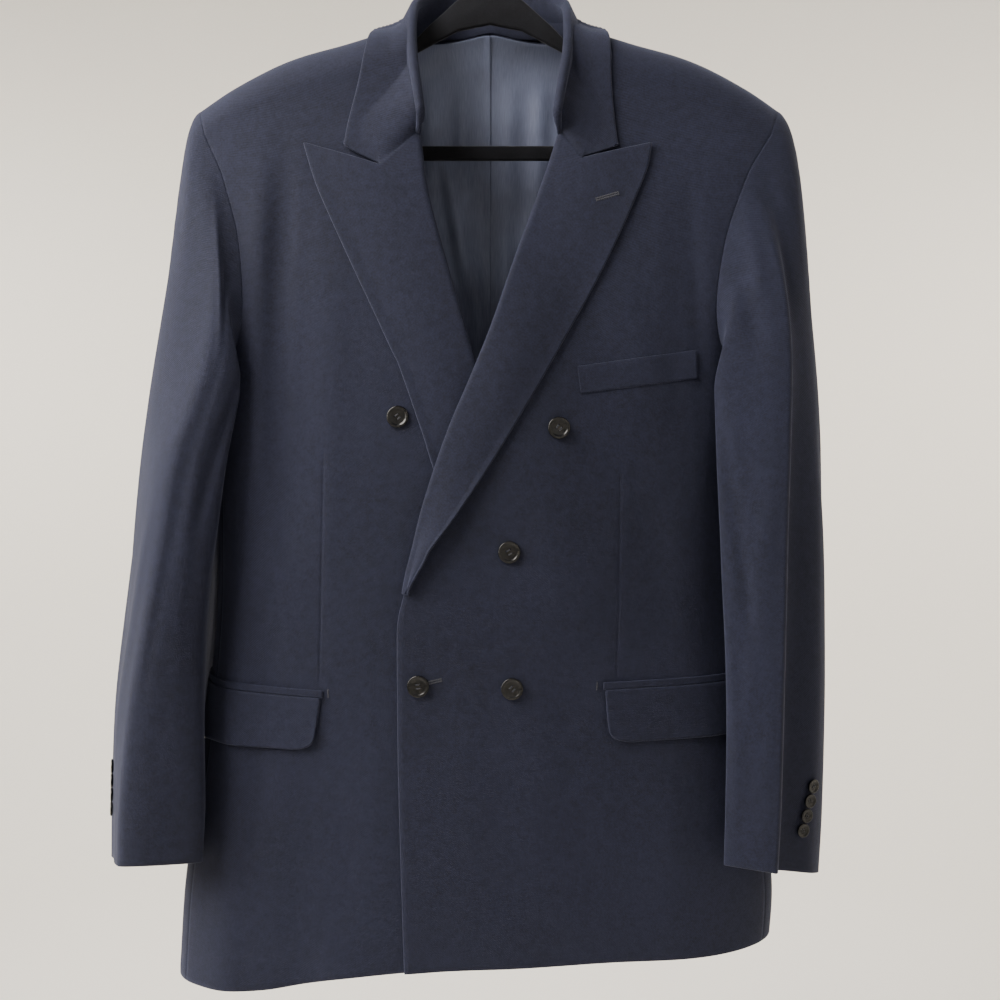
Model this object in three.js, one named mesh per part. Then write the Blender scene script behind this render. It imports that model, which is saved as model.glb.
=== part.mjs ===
// A double breasted blazer hanging on a flat velvet-covered hanger with a wire hook.
// Millimetres. +X is to the viewer's right, +Y away from the viewer, +Z up.
// The origin is the inside top of the hook, where a rod or wall hook holds the hanger.
// "Right" and "left" are the wearer's: the right side of the garment has negative X.
import * as THREE from "three";
import { mergeVertices } from "three/addons/utils/BufferGeometryUtils.js";

// Driving dimensions
const CLOTH = 2;             // wall of a panel of suiting with its interlining
const LINING = 1;            // wall of the lining
const SEAM = 0.3;            // space between two pieces that are sewn together
const ARCH = 45;             // height over which a shoulder rounds from its ridge to the chest
const SIDE_SEAM = 0.95;      // side-body seams, as a share of the half width
const UNDERARM_Z = -434;     // bottom of the armhole
const NOTCH_Z = -424;        // where the side-body seams meet the armhole
const SHOULDER_Z = -184;     // shoulder point, at the top of the armhole
const NECK_X = 86;           // where the shoulder seam meets the neck seam
const GORGE_Z = -217;        // where the gorge seam meets the roll line
const BREAK_Z = -630;        // where the overlap's lapel starts to roll
const ROLL_RADIUS = 4.4;     // roll of the lapel round the front's edge
const LAPEL_REST = 3.4;      // lapel's outer face over the panel, at the roll
const EDGE_INSET = 5;        // a front's cut edge, inside the visible roll
const SLEEVE_JOIN_Z = -450;  // first level section of a sleeve, below the armhole
const SLEEVE_GAP = 7;        // space between a sleeve and the body that it lies on
const FRONT_BUTTON = 19;     // front buttons, across
const CUFF_BUTTON = 14;      // cuff buttons, across

// Rows and columns of the panels
const BODY_ROWS = 14;
const ARMHOLE_ROWS = 8;
const SIDE_COLUMNS = 6;
const FRONT_COLUMNS = 14;
const SLEEVE_ROWS = 10;
const CAP_ROWS = 7;

// Cross-sections of the hanging body, by height
const BODY = [
  { z: -60, half: 312, centre: 0, front: 46, back: 44, side: 0, square: 4 },
  { z: -184, half: 308, centre: 0, front: 48, back: 46, side: 0, square: 4 },
  { z: -250, half: 294, centre: -4, front: 58, back: 48, side: 1, square: 3.9 },
  { z: -361, half: 262, centre: -8, front: 73, back: 49, side: 3, square: 3.5 },
  { z: -430, half: 247, centre: -9, front: 78, back: 47, side: 3, square: 3.1 },
  { z: -600, half: 240, centre: -10, front: 80, back: 44, side: 3, square: 2.8 },
  { z: -720, half: 248, centre: -10, front: 80, back: 44, side: 3, square: 2.8 },
  { z: -880, half: 269, centre: -10, front: 79, back: 44, side: 3, square: 2.9 },
  { z: -960, half: 269, centre: -15, front: 78, back: 44, side: 3, square: 3 },
];
// Top line of the shoulders, by distance from the middle
const RIDGE = [
  { x: 0, z: -66 }, { x: 45, z: -82 }, { x: 86, z: -106 }, { x: 104, z: -110 },
  { x: 134, z: -119 }, { x: 170, z: -129 }, { x: 197, z: -139.5 }, { x: 232, z: -158 },
  { x: 258, z: -175 }, { x: 272, z: -185 }, { x: 300, z: -215 },
];
// Hem line: the heavy fronts hang lower than the back
const HEM = [
  { x: -284, front: -966, back: -966 }, { x: -200, front: -961, back: -946 },
  { x: -130, front: -948, back: -932 }, { x: -50, front: -939, back: -923 },
  { x: 20, front: -936, back: -921 }, { x: 110, front: -933, back: -924 },
  { x: 190, front: -933, back: -928 }, { x: 256, front: -929, back: -929 },
];
// Armhole seam: distance from the centre line, for the front and for the back
const ARMHOLE = [
  { z: -184, front: 270, back: 270 }, { z: -212, front: 252, back: 258 },
  { z: -228, front: 243, back: 251 }, { z: -247, front: 233, back: 243 },
  { z: -266, front: 226, back: 237 }, { z: -302, front: 214.5, back: 228 },
  { z: -332, front: 209, back: 222 }, { z: -361, front: 206, back: 218 },
  { z: -385, front: 207, back: 216 }, { z: -406, front: 214, back: 221 },
  { z: -424, front: 235.6, back: 235.6 },
];
// Neck seam of the back and shoulder seam: place down from the ridge, plus is the front
const NECK = [
  { x: 0, drop: -42 }, { x: 30, drop: -41 }, { x: 52, drop: -34 },
  { x: 68, drop: -20 }, { x: 79, drop: -4 }, { x: 86, drop: 13 },
];
const SHOULDER_SEAM = [{ x: 86, drop: 13 }, { x: 176, drop: 1 }, { x: 272, drop: -5 }];
// Inner edge of each front: neck seam, roll line, then the closing edge
const OVERLAP_EDGE = [
  { z: -119, x: 86 }, { z: -135, x: 81 }, { z: -160, x: 75 }, { z: -190, x: 66 },
  { z: -217, x: 59 }, { z: -270, x: 42 }, { z: -330, x: 21 }, { z: -390, x: 1 },
  { z: -430, x: -15 }, { z: -480, x: -36 }, { z: -540, x: -56 }, { z: -580, x: -66 },
  { z: -610, x: -73 }, { z: -640, x: -76.5 }, { z: -740, x: -77 }, { z: -830, x: -75 },
  { z: -941, x: -71.5 },
];
const UNDERLAP_EDGE = [
  { z: -119, x: -86 }, { z: -135, x: -81 }, { z: -160, x: -75 }, { z: -190, x: -67 },
  { z: -217, x: -60 }, { z: -270, x: -52 }, { z: -330, x: -36 }, { z: -390, x: -19 },
  { z: -430, x: -7 }, { z: -520, x: 17 }, { z: -600, x: 38 }, { z: -640, x: 42 },
  { z: -740, x: 32 }, { z: -941, x: 3 },
];
// Outer edge of each lapel, from the point of the peak down to the end of its roll
const LAPEL_LEFT = [
  { z: -225, x: 141.5 }, { z: -246, x: 137.5 }, { z: -268, x: 129 }, { z: -305, x: 113 },
  { z: -350, x: 91 }, { z: -390, x: 69 }, { z: -440, x: 41 }, { z: -500, x: 5 },
  { z: -550, x: -28 }, { z: -590, x: -57 }, { z: -630, x: -75 },
];
const LAPEL_RIGHT = [
  { z: -225, x: -162 }, { z: -262, x: -150 }, { z: -290, x: -138 }, { z: -327, x: -121 },
  { z: -380, x: -96 }, { z: -410, x: -82 }, { z: -420, x: -77 }, { z: -480, x: -56 },
  { z: -520, x: -42 }, { z: -570, x: -8 }, { z: -610, x: 24 }, { z: -630, x: 38 },
];
// Top edge of each lapel: along the gorge seam, into the notch and out to the peak
const GORGE_LEFT = [{ x: 59, z: -217 }, { x: 82, z: -240 }, { x: 144, z: -225 }];
const GORGE_RIGHT = [{ x: -60, z: -217 }, { x: -96, z: -246 }, { x: -162, z: -225 }];
// Collar, from its right end round the back of the neck to its left end. The fold is the
// top of the roll; neck and edge are places on the body: x, and the way down from the ridge.
const COLLAR = [
  { s: 0, fx: -56, fy: -71, fz: -212, nx: -60, nd: 155, ex: -127, ed: 142.5, bulge: 2 },
  { s: 1, fx: -60, fy: -66, fz: -181, nx: -67, nd: 122, ex: -123, ed: 116, bulge: 5 },
  { s: 2, fx: -65, fy: -54, fz: -144, nx: -74.5, nd: 85.5, ex: -115, ed: 84, bulge: 8 },
  { s: 3, fx: -67, fy: -34, fz: -106, nx: -82, nd: 53, ex: -109, ed: 54, bulge: 9 },
  { s: 4, fx: -65, fy: -6, fz: -77, nx: -84.5, nd: 10, ex: -103, ed: 12, bulge: 8 },
  { s: 5, fx: -48, fy: 24, fz: -57, nx: -66, nd: -22, ex: -83, ed: -36, bulge: 7 },
  { s: 6, fx: -22, fy: 38, fz: -49, nx: -31, nd: -41, ex: -45, ed: -54, bulge: 5 },
  { s: 7, fx: 0, fy: 41, fz: -47, nx: 0, nd: -42, ex: 0, ed: -58, bulge: 5 },
  { s: 8, fx: 22, fy: 38, fz: -49, nx: 31, nd: -41, ex: 45, ed: -54, bulge: 5 },
  { s: 9, fx: 48, fy: 24, fz: -57, nx: 66, nd: -22, ex: 83, ed: -36, bulge: 7 },
  { s: 10, fx: 66, fy: -6, fz: -77, nx: 84.5, nd: 10, ex: 103, ed: 12, bulge: 8 },
  { s: 11, fx: 68, fy: -34, fz: -106, nx: 82, nd: 53, ex: 106, ed: 54, bulge: 9 },
  { s: 12, fx: 66, fy: -54, fz: -142, nx: 74.5, nd: 85.5, ex: 106.5, ed: 84, bulge: 8 },
  { s: 13, fx: 60, fy: -66, fz: -181, nx: 66, nd: 122, ex: 109, ed: 118, bulge: 5 },
  { s: 14, fx: 55, fy: -71, fz: -212, nx: 59, nd: 155, ex: 112, ed: 145.5, bulge: 2 },
];
// Sleeves, by height: inner edge, front crease, valley behind it, hind-arm seam, outermost
// line and back, as x with the viewer's depth y where it is needed
const SLEEVE_RIGHT = [
  { z: -450, inner: -214, front: -84, crease: -246, creaseY: -86, valley: -262, valleyY: -79,
    seam: -298, seamY: -46, outer: -312.5, outerY: -10, back: -298, backY: 34, rest: -30 },
  { z: -500, inner: -224, front: -86, crease: -262, creaseY: -89, valley: -278, valleyY: -81,
    seam: -305, seamY: -46, outer: -319.5, outerY: -10, back: -304, backY: 31, rest: -26 },
  { z: -560, inner: -233, front: -87, crease: -272, creaseY: -90, valley: -288, valleyY: -81,
    seam: -312, seamY: -46, outer: -325.5, outerY: -11, back: -308, backY: 27, rest: -22 },
  { z: -640, inner: -244, front: -88, crease: -285, creaseY: -91, valley: -299, valleyY: -81,
    seam: -320, seamY: -46, outer: -333, outerY: -12, back: -314, backY: 22, rest: -16 },
  { z: -720, inner: -248.5, front: -88, crease: -298, creaseY: -90, valley: -311, valleyY: -79,
    seam: -329, seamY: -46, outer: -341, outerY: -12, back: -320, backY: 18, rest: -10 },
  { z: -800, inner: -246.5, front: -87, crease: -307, creaseY: -88, valley: -318, valleyY: -76,
    seam: -332, seamY: -45, outer: -344.5, outerY: -12, back: -324, backY: 14, rest: -4 },
  { z: -850, inner: -247, front: -85, crease: -310, creaseY: -86, valley: -320, valleyY: -74,
    seam: -333, seamY: -44, outer: -345, outerY: -12, back: -325, backY: 12, rest: -2 },
];
const SLEEVE_LEFT = [
  { z: -450, inner: 192, front: -88, crease: 252, creaseY: -92, valley: 259, valleyY: -70,
    seam: 290, seamY: -42, outer: 300, outerY: -10, back: 284, backY: 34, rest: -30 },
  { z: -500, inner: 193.5, front: -91, crease: 249.5, creaseY: -96, valley: 257, valleyY: -70,
    seam: 292, seamY: -43, outer: 302, outerY: -12, back: 285, backY: 31, rest: -26 },
  { z: -560, inner: 196, front: -93, crease: 247, creaseY: -98, valley: 255, valleyY: -69,
    seam: 293, seamY: -44, outer: 304, outerY: -14, back: 285, backY: 27, rest: -22 },
  { z: -640, inner: 200, front: -94, crease: 245, creaseY: -99, valley: 253, valleyY: -69,
    seam: 293, seamY: -45, outer: 304, outerY: -16, back: 285, backY: 22, rest: -16 },
  { z: -720, inner: 201.5, front: -94, crease: 243, creaseY: -99, valley: 251, valleyY: -68,
    seam: 292, seamY: -46, outer: 303.5, outerY: -18, back: 284, backY: 18, rest: -10 },
  { z: -800, inner: 200.5, front: -93, crease: 241, creaseY: -98, valley: 248, valleyY: -67,
    seam: 288, seamY: -46, outer: 301, outerY: -20, back: 281, backY: 14, rest: -4 },
  { z: -850, inner: 199.5, front: -91, crease: 239, creaseY: -96, valley: 246, valleyY: -65,
    seam: 285, seamY: -45, outer: 298, outerY: -20, back: 279, backY: 12, rest: -2 },
];
// Each cuff's cut: its height at one point, and its slopes towards the back and outwards
const CUFF_RIGHT = { z: -846, x: -310, y: -86, slopeY: 0.2, slopeX: 0.03 };
const CUFF_LEFT = { z: -848, x: 240, y: -96, slopeY: 0.25, slopeX: 0.13 };
const CUFF_BLEND = 150;      // height over which the sections tilt to the cuff's cut

// Soft vertical folds of the fronts (face 1) and the back (face -1), as the jacket hangs
const FOLDS = [
  { face: 1, x: -172, lean: -6, top: -200, foot: -620, width: 17, depth: -4 },
  { face: 1, x: -199, lean: -4, top: -220, foot: -560, width: 14, depth: 3 },
  { face: 1, x: 158, lean: 8, top: -230, foot: -560, width: 18, depth: -3 },
  { face: 1, x: -225, lean: -8, top: -600, foot: -980, width: 20, depth: 3 },
  { face: 1, x: -150, lean: -16, top: -700, foot: -990, width: 26, depth: -3 },
  { face: -1, x: -120, lean: -10, top: -260, foot: -940, width: 30, depth: -4 },
  { face: -1, x: 135, lean: 12, top: -300, foot: -940, width: 34, depth: -4 },
  { face: -1, x: -40, lean: 4, top: -560, foot: -940, width: 26, depth: 3 },
];

const lerp = (a, b, t) => a + (b - a) * t;
const smooth = (value, start, end) => THREE.MathUtils.smoothstep(value, start, end);
const point = (x, y, z) => new THREE.Vector3(x, y, z);

// A smooth function through one column of a table, by another column
function spline(table, key, column) {
  const rows = [...table].sort((a, b) => a[key] - b[key]);
  const places = rows.map((row) => row[key]);
  const values = rows.map((row) => row[column]);
  const slopes = rows.map((_, i) => {
    const before = Math.max(i - 1, 0);
    const after = Math.min(i + 1, rows.length - 1);
    return (values[after] - values[before]) / (places[after] - places[before]);
  });
  return (place) => {
    if (place <= places[0]) return values[0];
    if (place >= places.at(-1)) return values.at(-1);
    const i = places.findIndex((next) => next > place) - 1;
    const width = places[i + 1] - places[i];
    const t = (place - places[i]) / width;
    const rise = values[i + 1] - values[i];
    const out = slopes[i] * width;
    const into = slopes[i + 1] * width;
    return values[i] + t * (out + t * (3 * rise - 2 * out - into + t * (out + into - 2 * rise)));
  };
}

const columnOf = (table, key) => (column) => spline(table, key, column);
const bodyColumn = columnOf(BODY, "z");
const body = {
  half: bodyColumn("half"),
  centre: bodyColumn("centre"),
  front: bodyColumn("front"),
  back: bodyColumn("back"),
  side: bodyColumn("side"),
  square: bodyColumn("square"),
};
const ridgeSpline = spline(RIDGE, "x", "z");
const ridge = (x) => ridgeSpline(Math.abs(x));
const hem = { 1: spline(HEM, "x", "front"), [-1]: spline(HEM, "x", "back") };
const armhole = { 1: spline(ARMHOLE, "z", "front"), [-1]: spline(ARMHOLE, "z", "back") };
const neckSpline = spline(NECK, "x", "drop");
const seamSpline = spline(SHOULDER_SEAM, "x", "drop");
const overlapEdge = spline(OVERLAP_EDGE, "z", "x");
const underlapEdge = spline(UNDERLAP_EDGE, "z", "x");

// How far the folds push the surface out at a place
function folds(x, z, face) {
  let push = 0;
  for (const fold of FOLDS) {
    if (fold.face !== face) continue;
    const along = (fold.top - z) / (fold.top - fold.foot);
    const fade = smooth(along, 0, 0.3) * (fold.foot < -900 ? 1 : 1 - smooth(along, 0.7, 1));
    const across = (x - fold.x - fold.lean * along) / fold.width;
    push += fold.depth * fade * Math.exp(-across * across);
  }
  return push;
}

// Depth of the front (face 1) or back (face -1) at x, and the length of its shoulder arch
function profile(x, face) {
  const top = ridge(x);
  const depth = (z) => {
    const share = Math.min(Math.abs(x - body.centre(z)) / body.half(z), 0.9995);
    const square = body.square(z);
    const inward = Math.pow(1 - Math.pow(share, square), 1 / square);
    return (face > 0 ? body.front(z) : body.back(z)) * inward;
  };
  const across = depth(top - ARCH);
  const quarter = (Math.PI / 2) * Math.sqrt((ARCH * ARCH + across * across) / 2);
  return { top, depth, quarter };
}

// Point of the body's surface at x, and a way down from the ridge: plus is the front
function shell(x, drop) {
  const face = drop >= 0 ? 1 : -1;
  const { top, depth, quarter } = profile(x, face);
  const way = Math.abs(drop);
  const turn = Math.min(way / quarter, 1) * Math.PI / 2;
  const z = top - ARCH * (1 - Math.cos(turn)) - Math.max(way - quarter, 0);
  const level = Math.min(z, top - ARCH);
  const out = depth(level) * Math.sin(turn) + folds(x, z, face);
  return point(x, body.side(level) - face * out, z);
}

// The way down from the ridge to a height, on the front or on the back
function dropAt(x, z, face = 1) {
  const { top, quarter } = profile(x, face);
  const below = top - z;
  if (below >= ARCH) return face * (quarter + below - ARCH);
  return face * quarter * Math.acos(1 - Math.max(below, 0) / ARCH) / (Math.PI / 2);
}

// Point of the flank at an angle round from the side line: plus is towards the front
function flank(hand, angle, z, out = 0) {
  const square = body.square(z);
  const cos = Math.cos(angle);
  const sin = Math.abs(Math.sin(angle));
  const reach = Math.pow(Math.pow(cos, square) + Math.pow(sin, square), -1 / square);
  const face = angle >= 0 ? 1 : -1;
  const depth = face > 0 ? body.front(z) : body.back(z);
  const x = body.centre(z) + hand * (body.half(z) + out) * reach * cos;
  const deep = (depth + out) * reach * sin + folds(x, z, face) * smooth(sin, 0.1, 0.5);
  return point(x, body.side(z) - face * deep, z);
}

// Angle round the flank of a place across it
function flankAngle(x, z) {
  const square = body.square(z);
  const share = Math.min(Math.abs(x - body.centre(z)) / body.half(z), 0.9995);
  return Math.atan2(Math.pow(1 - Math.pow(share, square), 1 / square), share);
}

// Outward normal of a surface that is a function of two places
function normalOf(surface, a, b, step, flip = 1) {
  const across = surface(a + step, b).sub(surface(a - step, b));
  const along = surface(a, b + step).sub(surface(a, b - step));
  return across.cross(along).normalize().multiplyScalar(flip);
}

// Outward normal of the body's surface
const shellNormal = (x, drop) => normalOf(shell, x, drop, 1.5, -1);

// Point over the body's surface
function over(x, drop, height) {
  return shell(x, drop).addScaledVector(shellNormal(x, drop), height);
}

// How far the overlap stands off, where it crosses the underlap and the lapel under it
function overlapLift(x, z) {
  const level = lerp(3.6, 12, smooth(z, -720, -600));
  const past = x - underlapEdge(Math.max(z, -941));
  return level * (1 - smooth(past, 8, 110));
}

// Outer face of a front: the left front is lifted over the right one
function frontPoint(hand, x, drop, height = 0) {
  const lift = hand > 0 ? overlapLift(x, shell(x, drop).z) : 0;
  return over(x, drop, lift + height);
}

// A closed wall between a grid of outer points and the same grid moved in along its normals
function wall(points, normals, thickness) {
  const rows = points.length;
  const columns = points[0].length;
  const inner = points.map((row, i) =>
    row.map((p, j) => p.clone().addScaledVector(normals[i][j], -thickness)));
  const positions = [];
  const face = (a, b, c, d) => {
    for (const p of [a, b, c, a, c, d]) positions.push(p.x, p.y, p.z);
  };
  for (let i = 0; i < rows - 1; i += 1) {
    for (let j = 0; j < columns - 1; j += 1) {
      face(points[i][j], points[i][j + 1], points[i + 1][j + 1], points[i + 1][j]);
      face(inner[i][j], inner[i + 1][j], inner[i + 1][j + 1], inner[i][j + 1]);
    }
  }
  for (let j = 0; j < columns - 1; j += 1) {
    const last = rows - 1;
    face(points[0][j + 1], points[0][j], inner[0][j], inner[0][j + 1]);
    face(points[last][j], points[last][j + 1], inner[last][j + 1], inner[last][j]);
  }
  for (let i = 0; i < rows - 1; i += 1) {
    const last = columns - 1;
    face(points[i][0], points[i + 1][0], inner[i + 1][0], inner[i][0]);
    face(points[i + 1][last], points[i][last], inner[i][last], inner[i + 1][last]);
  }
  return solid(positions);
}

// Closed geometry from loose triangles, turned so that its faces point out
function solid(positions) {
  let volume = 0;
  for (let i = 0; i < positions.length; i += 9) {
    const [ax, ay, az, bx, by, bz, cx, cy, cz] = positions.slice(i, i + 9);
    volume += ax * (by * cz - bz * cy) + ay * (bz * cx - bx * cz) + az * (bx * cy - by * cx);
  }
  if (volume < 0) {
    for (let i = 0; i < positions.length; i += 9) {
      for (let k = 0; k < 3; k += 1) {
        [positions[i + 3 + k], positions[i + 6 + k]] = [positions[i + 6 + k], positions[i + 3 + k]];
      }
    }
  }
  const geometry = new THREE.BufferGeometry();
  geometry.setAttribute("position", new THREE.Float32BufferAttribute(positions, 3));
  const merged = mergeVertices(geometry, 1e-4);
  merged.computeVertexNormals();
  return merged;
}

// Moves the rim of a grid in, on the sides that are sewn
function trim(points, sides, inset = SEAM / 2) {
  const rows = points.length;
  const columns = points[0].length;
  const pull = (edge, next) => edge.addScaledVector(next.clone().sub(edge).normalize(), inset);
  for (let i = 0; i < rows; i += 1) {
    if (sides.includes("first")) pull(points[i][0], points[i][1]);
    if (sides.includes("last")) pull(points[i][columns - 1], points[i][columns - 2]);
  }
  for (let j = 0; j < columns; j += 1) {
    if (sides.includes("bottom")) pull(points[0][j], points[1][j]);
    if (sides.includes("top")) pull(points[rows - 1][j], points[rows - 2][j]);
  }
  return points;
}

// Panels of the body are grids of places: x, and the way down from the ridge
const range = (count, make) => Array.from({ length: count + 1 }, (_, i) => make(i / count, i));
const sideSeamX = (hand, z) => body.centre(z) + hand * body.half(z) * SIDE_SEAM;

// Place on the outer boundary of a front or back at a row: side seam, then armhole
function outerPlace(hand, face, row) {
  const hemX = sideSeamX(hand, -950);
  const hemZ = hem[face](hemX);
  if (row <= BODY_ROWS) {
    const z = lerp(hemZ, NOTCH_Z, row / BODY_ROWS);
    return { x: sideSeamX(hand, z), z };
  }
  const z = lerp(NOTCH_Z, SHOULDER_Z, (row - BODY_ROWS) / ARMHOLE_ROWS);
  return { x: body.centre(z) + hand * armhole[face](z), z };
}

// Way down from the ridge along the shoulder seam and the neck seam of the back
function topDrop(x) {
  const away = Math.abs(x);
  return away < NECK_X ? neckSpline(away) : seamSpline(away);
}

// Rows above the armhole's bottom crowd towards the shoulder, where the cloth bends most
const towardTop = (row) => 1 - Math.pow(1 - (row - BODY_ROWS) / ARMHOLE_ROWS, 1.4);

// Grid of places of one front, from its inner edge to its outer boundary, hem to shoulder
function frontPlaces(hand) {
  const edge = hand > 0 ? overlapEdge : underlapEdge;
  const inset = hand * EDGE_INSET;
  const total = BODY_ROWS + ARMHOLE_ROWS;
  return range(total, (_, row) => {
    const outer = outerPlace(hand, 1, row);
    const hemZ = hem[1](edge(-941));
    const z = row <= BODY_ROWS
      ? lerp(hemZ, NOTCH_Z + 8, row / BODY_ROWS)
      : lerp(NOTCH_Z + 8, -119, towardTop(row));
    const rolled = smooth(z, BREAK_Z - 20, BREAK_Z + 30) * (1 - smooth(z, -190, -150));
    const inner = { x: edge(z) + inset * rolled, z };
    const high = smooth(row / total, 0.72, 1);
    const innerDrop = row === total ? topDrop(NECK_X) : dropAt(inner.x, inner.z);
    const outerDrop = row === total ? topDrop(outer.x) : dropAt(outer.x, outer.z);
    const lower = 1 - Math.min(row / 4, 1);
    return range(FRONT_COLUMNS, (t) => {
      const x = lerp(inner.x, outer.x, t);
      const bow = hem[1](x) - lerp(hem[1](inner.x), hem[1](outer.x), t);
      const level = lerp(inner.z, outer.z, t) + bow * lower;
      const drop = lerp(dropAt(x, Math.min(level, ridge(x))), lerp(innerDrop, outerDrop, t), high);
      return { x, drop };
    });
  });
}

// Grid of places of one half of the back, from the centre seam to its outer boundary
const BACK_NECK_COLUMNS = 4;
const BACK_SHOULDER_COLUMNS = 7;
function backPlaces(hand) {
  const total = BODY_ROWS + ARMHOLE_ROWS;
  const columns = BACK_NECK_COLUMNS + BACK_SHOULDER_COLUMNS;
  const neckZ = shell(0, topDrop(0)).z;
  return range(total, (_, row) => {
    const outer = outerPlace(hand, -1, row);
    const innerZ = row <= BODY_ROWS
      ? lerp(hem[-1](0), NOTCH_Z, row / BODY_ROWS)
      : lerp(NOTCH_Z, neckZ, towardTop(row));
    const innerDrop = row === total ? topDrop(0) : dropAt(0, innerZ, -1);
    const outerDrop = row === total ? topDrop(outer.x) : dropAt(outer.x, outer.z, -1);
    const high = smooth(row / total, 0.72, 1);
    const low = 1 - Math.min(row / 5, 1);
    return range(columns, (even, column) => {
      const toNeck = NECK_X / Math.abs(outer.x);
      const neckward = column <= BACK_NECK_COLUMNS
        ? toNeck * (column / BACK_NECK_COLUMNS)
        : lerp(toNeck, 1, (column - BACK_NECK_COLUMNS) / BACK_SHOULDER_COLUMNS);
      const share = lerp(even, neckward, smooth(row / total, 0.6, 1));
      const x = share * outer.x;
      const bow = hem[-1](x) - lerp(hem[-1](0), hem[-1](outer.x), share);
      const level = dropAt(x, lerp(innerZ, outer.z, share) + bow * low, -1);
      const straight = lerp(innerDrop, outerDrop, share);
      const top = topDrop(x) - lerp(topDrop(0), topDrop(outer.x), share);
      return { x, drop: lerp(level, straight + top, high) };
    });
  });
}

function panel(places, make, thickness, sides, trimmed = true) {
  const points = places.map((row) => row.map((place) => make(place)));
  const normals = places.map((row) => row.map(({ x, drop }) => shellNormal(x, drop)));
  return wall(trimmed ? trim(points, sides) : points, normals, thickness);
}

// Side body: round the flank between the two side seams, up to the underarm
function sideAngles(z) {
  const angle = flankAngle(body.centre(z) + body.half(z) * SIDE_SEAM, z);
  return { front: angle, back: -angle };
}

function sideGrid(hand) {
  return range(BODY_ROWS, (t) => range(SIDE_COLUMNS, (s) => {
    const across = 1 - 2 * s;
    const hemX = sideSeamX(hand, -950);
    const hemZ = lerp(hem[-1](hemX), hem[1](hemX), 1 - s);
    const sideHem = hemZ + (hem[1](hand * 284 - 20) - hemZ) * (1 - across * across);
    const topZ = UNDERARM_Z + (NOTCH_Z - UNDERARM_Z) * across * across;
    const z = lerp(sideHem, topZ, t);
    const angles = sideAngles(z);
    const seamAngle = across >= 0 ? angles.front : -angles.back;
    return { angle: across * seamAngle, z };
  }));
}

function sideBody(hand) {
  const grid = sideGrid(hand);
  const place = (angle, z) => flank(hand, angle, z);
  const points = grid.map((row) => row.map(({ angle, z }) => place(angle, z)));
  const normals = grid.map((row) => row.map(({ angle, z }) => {
    const across = place(angle + 0.02, z).sub(place(angle - 0.02, z));
    const along = place(angle, z + 1.5).sub(place(angle, z - 1.5));
    return across.cross(along).normalize().multiplyScalar(-hand);
  }));
  return wall(trim(points, ["first", "last", "top"]), normals, CLOTH);
}

// Sleeves. The armhole ring is read off the body's own rows, from the underarm round the
// front, over the shoulder point and down the back, with the turn of the cloth at each point.
const RING_TURN = [
  { i: 0, turn: 180 }, { i: 1, turn: 175 }, { i: 2, turn: 150 }, { i: 3, turn: 115 },
  { i: 4, turn: 88 }, { i: 5, turn: 62 }, { i: 6, turn: 40 }, { i: 7, turn: 26 },
  { i: 8, turn: 16 }, { i: 9, turn: 8 }, { i: 11, turn: 2 }, { i: 13, turn: 8 },
  { i: 15, turn: 18 }, { i: 17, turn: 50 }, { i: 19, turn: 110 }, { i: 20, turn: 150 },
  { i: 22, turn: 180 },
];
const RING_HALF = SIDE_COLUMNS / 2 + ARMHOLE_ROWS;
const RING = 2 * RING_HALF;
const turnAt = spline(RING_TURN, "i", "turn");

function ringPlace(hand, i) {
  const half = SIDE_COLUMNS / 2;
  const face = i <= RING_HALF ? 1 : -1;
  const step = face > 0 ? i : RING - i;
  if (step <= half) {
    const across = step / half;
    const z = UNDERARM_Z + (NOTCH_Z - UNDERARM_Z) * across * across;
    const angle = face * across * sideAngles(z).front;
    const at = flank(hand, angle, z);
    const normal = flank(hand, angle, z, 5).sub(at).normalize();
    return { at, normal };
  }
  const { x, z } = outerPlace(hand, face, BODY_ROWS + step - half);
  const drop = step === RING_HALF ? topDrop(x) : dropAt(x, z, face);
  return { at: shell(x, drop), normal: shellNormal(x, drop) };
}

function armholeRing(hand) {
  const ring = range(RING, (_, i) => ringPlace(hand, i));
  return ring.map(({ at, normal }, i) => {
    const before = ring[(i + RING - 1) % RING].at;
    const after = ring[(i + 1) % RING].at;
    const tangent = after.clone().sub(before).normalize();
    const away = tangent.clone().cross(normal).normalize().multiplyScalar(hand);
    const turn = THREE.MathUtils.degToRad(turnAt(i));
    const leave = away.clone().multiplyScalar(Math.cos(turn)).addScaledVector(normal, Math.sin(turn));
    const outward = normal.clone().multiplyScalar(Math.cos(turn))
      .addScaledVector(away, -Math.sin(turn));
    const start = at.clone().addScaledVector(away, SEAM * Math.cos(turn / 2))
      .addScaledVector(normal, SEAM * Math.sin(turn / 2) + 0.25);
    return { start, leave, outward };
  });
}

// Level section of a sleeve: named points round it, then smooth steps between them
const SECTION_STEPS = { rest: 2, corner: 2, inner: 2, front: 2, crease: 1, valley: 2,
  seam: 2, outer: 3, back: 3, hind: 3 };
const sleeveTables = { 1: SLEEVE_LEFT, [-1]: SLEEVE_RIGHT };
const sleeveColumns = Object.fromEntries([1, -1].map((hand) => [hand,
  Object.fromEntries(Object.keys(SLEEVE_LEFT[0]).filter((column) => column !== "z")
    .map((column) => [column, spline(sleeveTables[hand], "z", column)]))]));

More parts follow.
